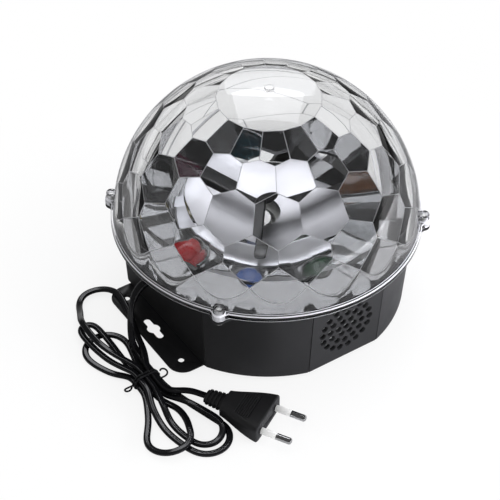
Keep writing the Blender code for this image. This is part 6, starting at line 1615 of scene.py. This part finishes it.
def plug_stations():
    """Distance, width, height and squareness of each section, from the relief's tip to the plug's face.

    Behind the body the width and height step in and out for the ribs. Along the body the width grows by a
    blend of a straight line and a smooth step, and the last stations ease the face by a quarter round.
    """
    stations = []
    back = -PLUG_BODY - RELIEF
    rib = RELIEF / (2 * RELIEF_RIBS)
    for number in range(2 * RELIEF_RIBS):
        part = number / (2 * RELIEF_RIBS)
        width, height = (tip + (root - tip) * part for tip, root in zip(RELIEF_TIP, RELIEF_ROOT))
        sunk = 0.0 if number % 2 else RELIEF_GROOVE
        for share in RIB_SHARES:
            stations.append((back + rib * (number + share), width - sunk, height - sunk, RELIEF_SQUARENESS))
    neck = (-PLUG_BODY - PLUG_NECK_BACK, *PLUG_NECK, PLUG_NECK_SQUARENESS)
    stations = [(back, *stations[0][1:]), *stations, neck]
    straight, curved = PLUG_SPREAD_SHARES
    for part in np.linspace(0, 1, PLUG_STATIONS):
        ease = part**PLUG_SPREAD_POWER
        wide = straight * part + curved * (ease * ease * (3 - 2 * ease))
        width = PLUG_REAR[0] + (PLUG_FACE[0] - PLUG_REAR[0]) * wide
        height = PLUG_REAR[1] + (PLUG_FACE[1] - PLUG_REAR[1]) * part
        distance = -PLUG_BODY + (PLUG_BODY - PLUG_ROUND) * part
        stations.append((distance, width, height, PLUG_SQUARENESS + PLUG_SQUARENESS_GAIN * part))
    for turn in np.linspace(0, QUARTER, PLUG_ROUND_STEPS)[1:]:
        cut = 2 * PLUG_ROUND * (1 - math.cos(turn))
        distance = -PLUG_ROUND + PLUG_ROUND * math.sin(turn)
        squareness = PLUG_SQUARENESS + PLUG_SQUARENESS_GAIN
        stations.append((distance, PLUG_FACE[0] - cut, PLUG_FACE[1] - cut, squareness))
    return stations


def plug_shell(place):
    """Body and ribbed relief as one loft. Fine ribs across its flat faces follow a squared sine."""
    rows = []
    for distance, width, height, squareness in plug_stations():
        ring = oval(width, height, PLUG_POINTS, squareness)
        if GRIP_NEAR < distance < GRIP_FAR:
            dip = GRIP_DEPTH * math.sin(math.pi * (distance - GRIP_NEAR) / GRIP_PITCH) ** 2
            held = np.abs(ring[:, 1]) > GRIP_HEIGHT_SHARE * height
            held &= np.abs(ring[:, 0]) < GRIP_WIDTH_SHARE * width
            ring[:, 1] -= np.where(held, np.sign(ring[:, 1]) * dip, 0)
        rows.append(level(ring, distance))
    body = Shape(moved(np.array(rows), place)).object("plug_shell", PLUG_CREASE)
    holes = Shape()
    for side in (-1, 1):
        hole = rod(PIN_CORE + GAP, -PIN_SUNK - GAP, CUT_OVERRUN)
        holes.add(turned(hole, HOLE_SEGMENTS, place @ shifted(side * PIN_SPACING / 2, 0)))
    return combined(body, "DIFFERENCE", holes.object("pin_holes"))


def build_plug(lead):
    """Flat two-pin plug and its pins with white sleeves."""
    place = plug_place()
    satin = moulded("plug_look", lead.plug, 0.40, grain_scale=PLUG_GRAIN_SCALE)
    pieces = [dress(plug_shell(place), satin, "plug_plastic", "plug_body")]
    chrome = metal("pin_look", (0.82, 0.82, 0.82), 0.10, depth=CHROME_MARK_DEPTH)
    ivory = moulded("sleeve_look", lead.sleeves, 0.3, SILKY_GRAIN, variation=0.03)
    angle = np.linspace(0, QUARTER, PIN_TIP_STEPS)
    tip = np.column_stack([PIN_RADIUS * np.cos(angle), PIN_LENGTH - PIN_TIP + PIN_TIP * np.sin(angle)])
    tip[-1, 0] = 0.0
    core = [(0, -PIN_SUNK), (PIN_CORE, -PIN_SUNK), (PIN_CORE, PIN_SLEEVE), (PIN_RADIUS, PIN_SLEEVE)]
    inner, end = PIN_CORE + GAP, PIN_SLEEVE - GAP
    corners = [(inner, GAP), (PIN_RADIUS, GAP), (PIN_RADIUS, end), (inner, end)]
    for number, side in enumerate((-1, 1), 1):
        at = place @ shifted(side * PIN_SPACING / 2, 0)
        pin = Shape(turned(np.vstack([core, tip]), BORE_SEGMENTS, at)).object(f"pin_{number}")
        pieces.append(dress(pin, chrome, "pin_chrome", f"plug_pin_{number}"))
        sleeve = Shape(ringed(corners, BORE_SEGMENTS, PIN_SLEEVE_ROUND, at), looped=True)
        sleeve = sleeve.object(f"sleeve_{number}")
        pieces.append(dress(sleeve, ivory, "sleeve_plastic", f"pin_sleeve_{number}"))
    return pieces


CAMERA_TARGET = (0.00542, 0.00797, 0.02527)
CAMERA_BACK = (-0.8267, 0.5626)
LAMP_COLOUR = (0.955, 0.96, 1.0)
EDGE_FROM, EDGE_TO = 0.30, 0.72
CLIP_START, CLIP_END = 0.01, 20.0
KEY_BEHIND, KEY_HEIGHT, KEY_SIZE = 0.48, 0.76, (0.54, 0.50)
SIDE_PLACE, SIDE_TARGET, SIDE_SIZE = (-0.62, -0.49, 0.12), (0, 0, 0.03), (0.8, 0.20)
FLOOR_HALF, FLOOR_DROP, FLOOR_FADE = 4.0, 0.00006, (0.12, 0.24)


def camera_line(stage):
    """The way the camera looks, as a unit vector."""
    flat, high = math.cos(stage.elevation), math.sin(stage.elevation)
    return -Vector((CAMERA_BACK[0] * flat, CAMERA_BACK[1] * flat, high)).normalized()


class PARTYLIGHT_OT_stage(Operator):
    """Pale floor, soft light and the camera"""

    bl_idname = "party_light.stage"
    bl_label = "Stage"

    def execute(self, context):
        scene, stage = context.scene, context.scene.party_light.stage
        scene.view_settings.view_transform = "Standard"
        self.camera(scene, stage)
        self.floor(stage)
        self.sky(scene, stage)
        behind = -KEY_BEHIND * np.array(CAMERA_BACK)
        self.lamp("key_lamp", (*behind, KEY_HEIGHT), (0, 0, DECK_TOP), KEY_SIZE, stage.key)
        side = self.lamp("side_lamp", SIDE_PLACE, SIDE_TARGET, SIDE_SIZE, stage.fill)
        side.visible_glossy = side.visible_transmission = False
        return {"FINISHED"}

    @staticmethod
    def camera(scene, stage):
        data = bpy.data.cameras.new("camera")
        data.sensor_width = SENSOR_WIDTH
        data.lens = stage.focal_pixels / IMAGE_SIZE * SENSOR_WIDTH
        data.clip_start, data.clip_end = CLIP_START, CLIP_END
        back = -camera_line(stage)
        made = bpy.data.objects.new("camera", data)
        scene.collection.objects.link(made)
        turn = back.to_track_quat("Z", "Y").to_matrix().to_4x4() @ Matrix.Rotation(stage.roll, 4, "Z")
        made.matrix_world = Matrix.Translation(Vector(CAMERA_TARGET) + back * stage.distance) @ turn
        scene.camera = made

    @staticmethod
    def floor(stage):
        """A wide sheet under the object. Far from the object it turns into plain white for the camera."""
        outline = FLOOR_HALF * np.array(((-1, -1), (1, -1), (1, 1), (-1, 1)))
        mesh = bpy.data.meshes.new("floor")
        mesh.from_pydata(level(outline, -FLOOR_DROP), [], [(0, 1, 2, 3)])
        made = bpy.data.objects.new("floor", mesh)
        bpy.context.scene.collection.objects.link(made)
        paint = Paint("floor_look", stage.floor, 0.9, Specular_IOR_Level=0.0)
        white = paint.node("ShaderNodeEmission", {}, {"Color": (1, 1, 1, 1), "Strength": 1.0})
        seen = paint.ray("Is Camera Ray").greatest(paint.ray("Is Transmission Ray"))
        place = paint.node("ShaderNodeTexCoord", {}, {}, "Object")
        far = paint.node("ShaderNodeVectorMath", {"operation": "LENGTH"}, {0: place}, "Value")
        near, away = FLOOR_FADE
        span = {"Value": far, "From Min": near, "From Max": away, "To Min": stage.lightness, "To Max": 1.0}
        fade = paint.node("ShaderNodeMapRange", {"interpolation_type": "SMOOTHSTEP"}, span)
        plain = Signal(paint, paint.shader.outputs[0])
        mixed = paint.node("ShaderNodeMixShader", {}, {0: seen * fade, 1: plain, 2: white})
        paint.end(mixed, "Material Output", "Surface")
        mesh.materials.append(paint.material)

    @staticmethod
    def sky(scene, stage):
        """Even light from all round, plain white to the camera, also through clear plastic and at its edges.

        The edges are where a reflection points nearly straight on from the camera's line of sight.
        """
        world = bpy.data.worlds.new("studio")
        world.use_nodes = True
        tree = Nodes(world.node_tree)
        unmirrored = tree.ray("Glossy Depth") < 0.5
        way = tree.node("ShaderNodeTexCoord", {}, {}, "Generated")
        line = camera_line(stage)
        onward = tree.node("ShaderNodeVectorMath", {"operation": "DOT_PRODUCT"}, {0: way, 1: line}, "Value")
        edge = tree.node("ShaderNodeMapRange", {}, {0: onward, 1: EDGE_FROM, 2: EDGE_TO})
        edge = edge * (tree.ray("Transmission Depth") < 0.5)
        seen = tree.ray("Is Camera Ray").greatest(tree.ray("Is Transmission Ray") * unmirrored).greatest(edge)
        plain = stage.sky + (stage.mirrored_sky - stage.sky) * (tree.ray("Glossy Depth") > 0.5)
        tree.end(plain + (1 - plain) * seen, "Background", "Strength")
        tree.tree.nodes["Background"].inputs["Color"].default_value = (1, 1, 1, 1)
        scene.world = world

    @staticmethod
    def lamp(name, place, target, size, power):
        data = bpy.data.lights.new(name, "AREA")
        data.shape = "RECTANGLE"
        data.size, data.size_y = size
        data.energy = power
        data.color = LAMP_COLOUR
        made = bpy.data.objects.new(name, data)
        out = (Vector(place) - Vector(target)).normalized()
        made.matrix_world = Matrix.Translation(place) @ out.to_track_quat("Z", "Y").to_matrix().to_4x4()
        bpy.context.scene.collection.objects.link(made)
        return made


STEPS = (
    PARTYLIGHT_OT_stage,
    PARTYLIGHT_OT_lead,
    PARTYLIGHT_OT_housing,
    PARTYLIGHT_OT_plate,
    PARTYLIGHT_OT_speakers,
    PARTYLIGHT_OT_deck,
    PARTYLIGHT_OT_lenses,
    PARTYLIGHT_OT_rotor,
    PARTYLIGHT_OT_electronics,
    PARTYLIGHT_OT_controls,
    PARTYLIGHT_OT_dome,
)


class PARTYLIGHT_PT_sidebar(Panel):
    """The steps that build the party light"""

    bl_label = "Party light"
    bl_space_type = "VIEW_3D"
    bl_region_type = "UI"
    bl_category = "Party light"

    def draw(self, context):
        for step in STEPS:
            self.layout.operator(step.bl_idname)


CLASSES = (
    PARTYLIGHT_PG_dome,
    PARTYLIGHT_PG_base,
    PARTYLIGHT_PG_lights,
    PARTYLIGHT_PG_lead,
    PARTYLIGHT_PG_stage,
    PARTYLIGHT_PG_all,
    *STEPS,
    PARTYLIGHT_PT_sidebar,
)


def register():
    for item in CLASSES:
        bpy.utils.register_class(item)
    bpy.types.Scene.party_light = PointerProperty(type=PARTYLIGHT_PG_all)


def unregister():
    del bpy.types.Scene.party_light
    for item in reversed(CLASSES):
        bpy.utils.unregister_class(item)


def main():
    register()
    for step in STEPS:
        group, name = step.bl_idname.split(".")
        getattr(getattr(bpy.ops, group), name)()


if __name__ == "__main__":
    main()
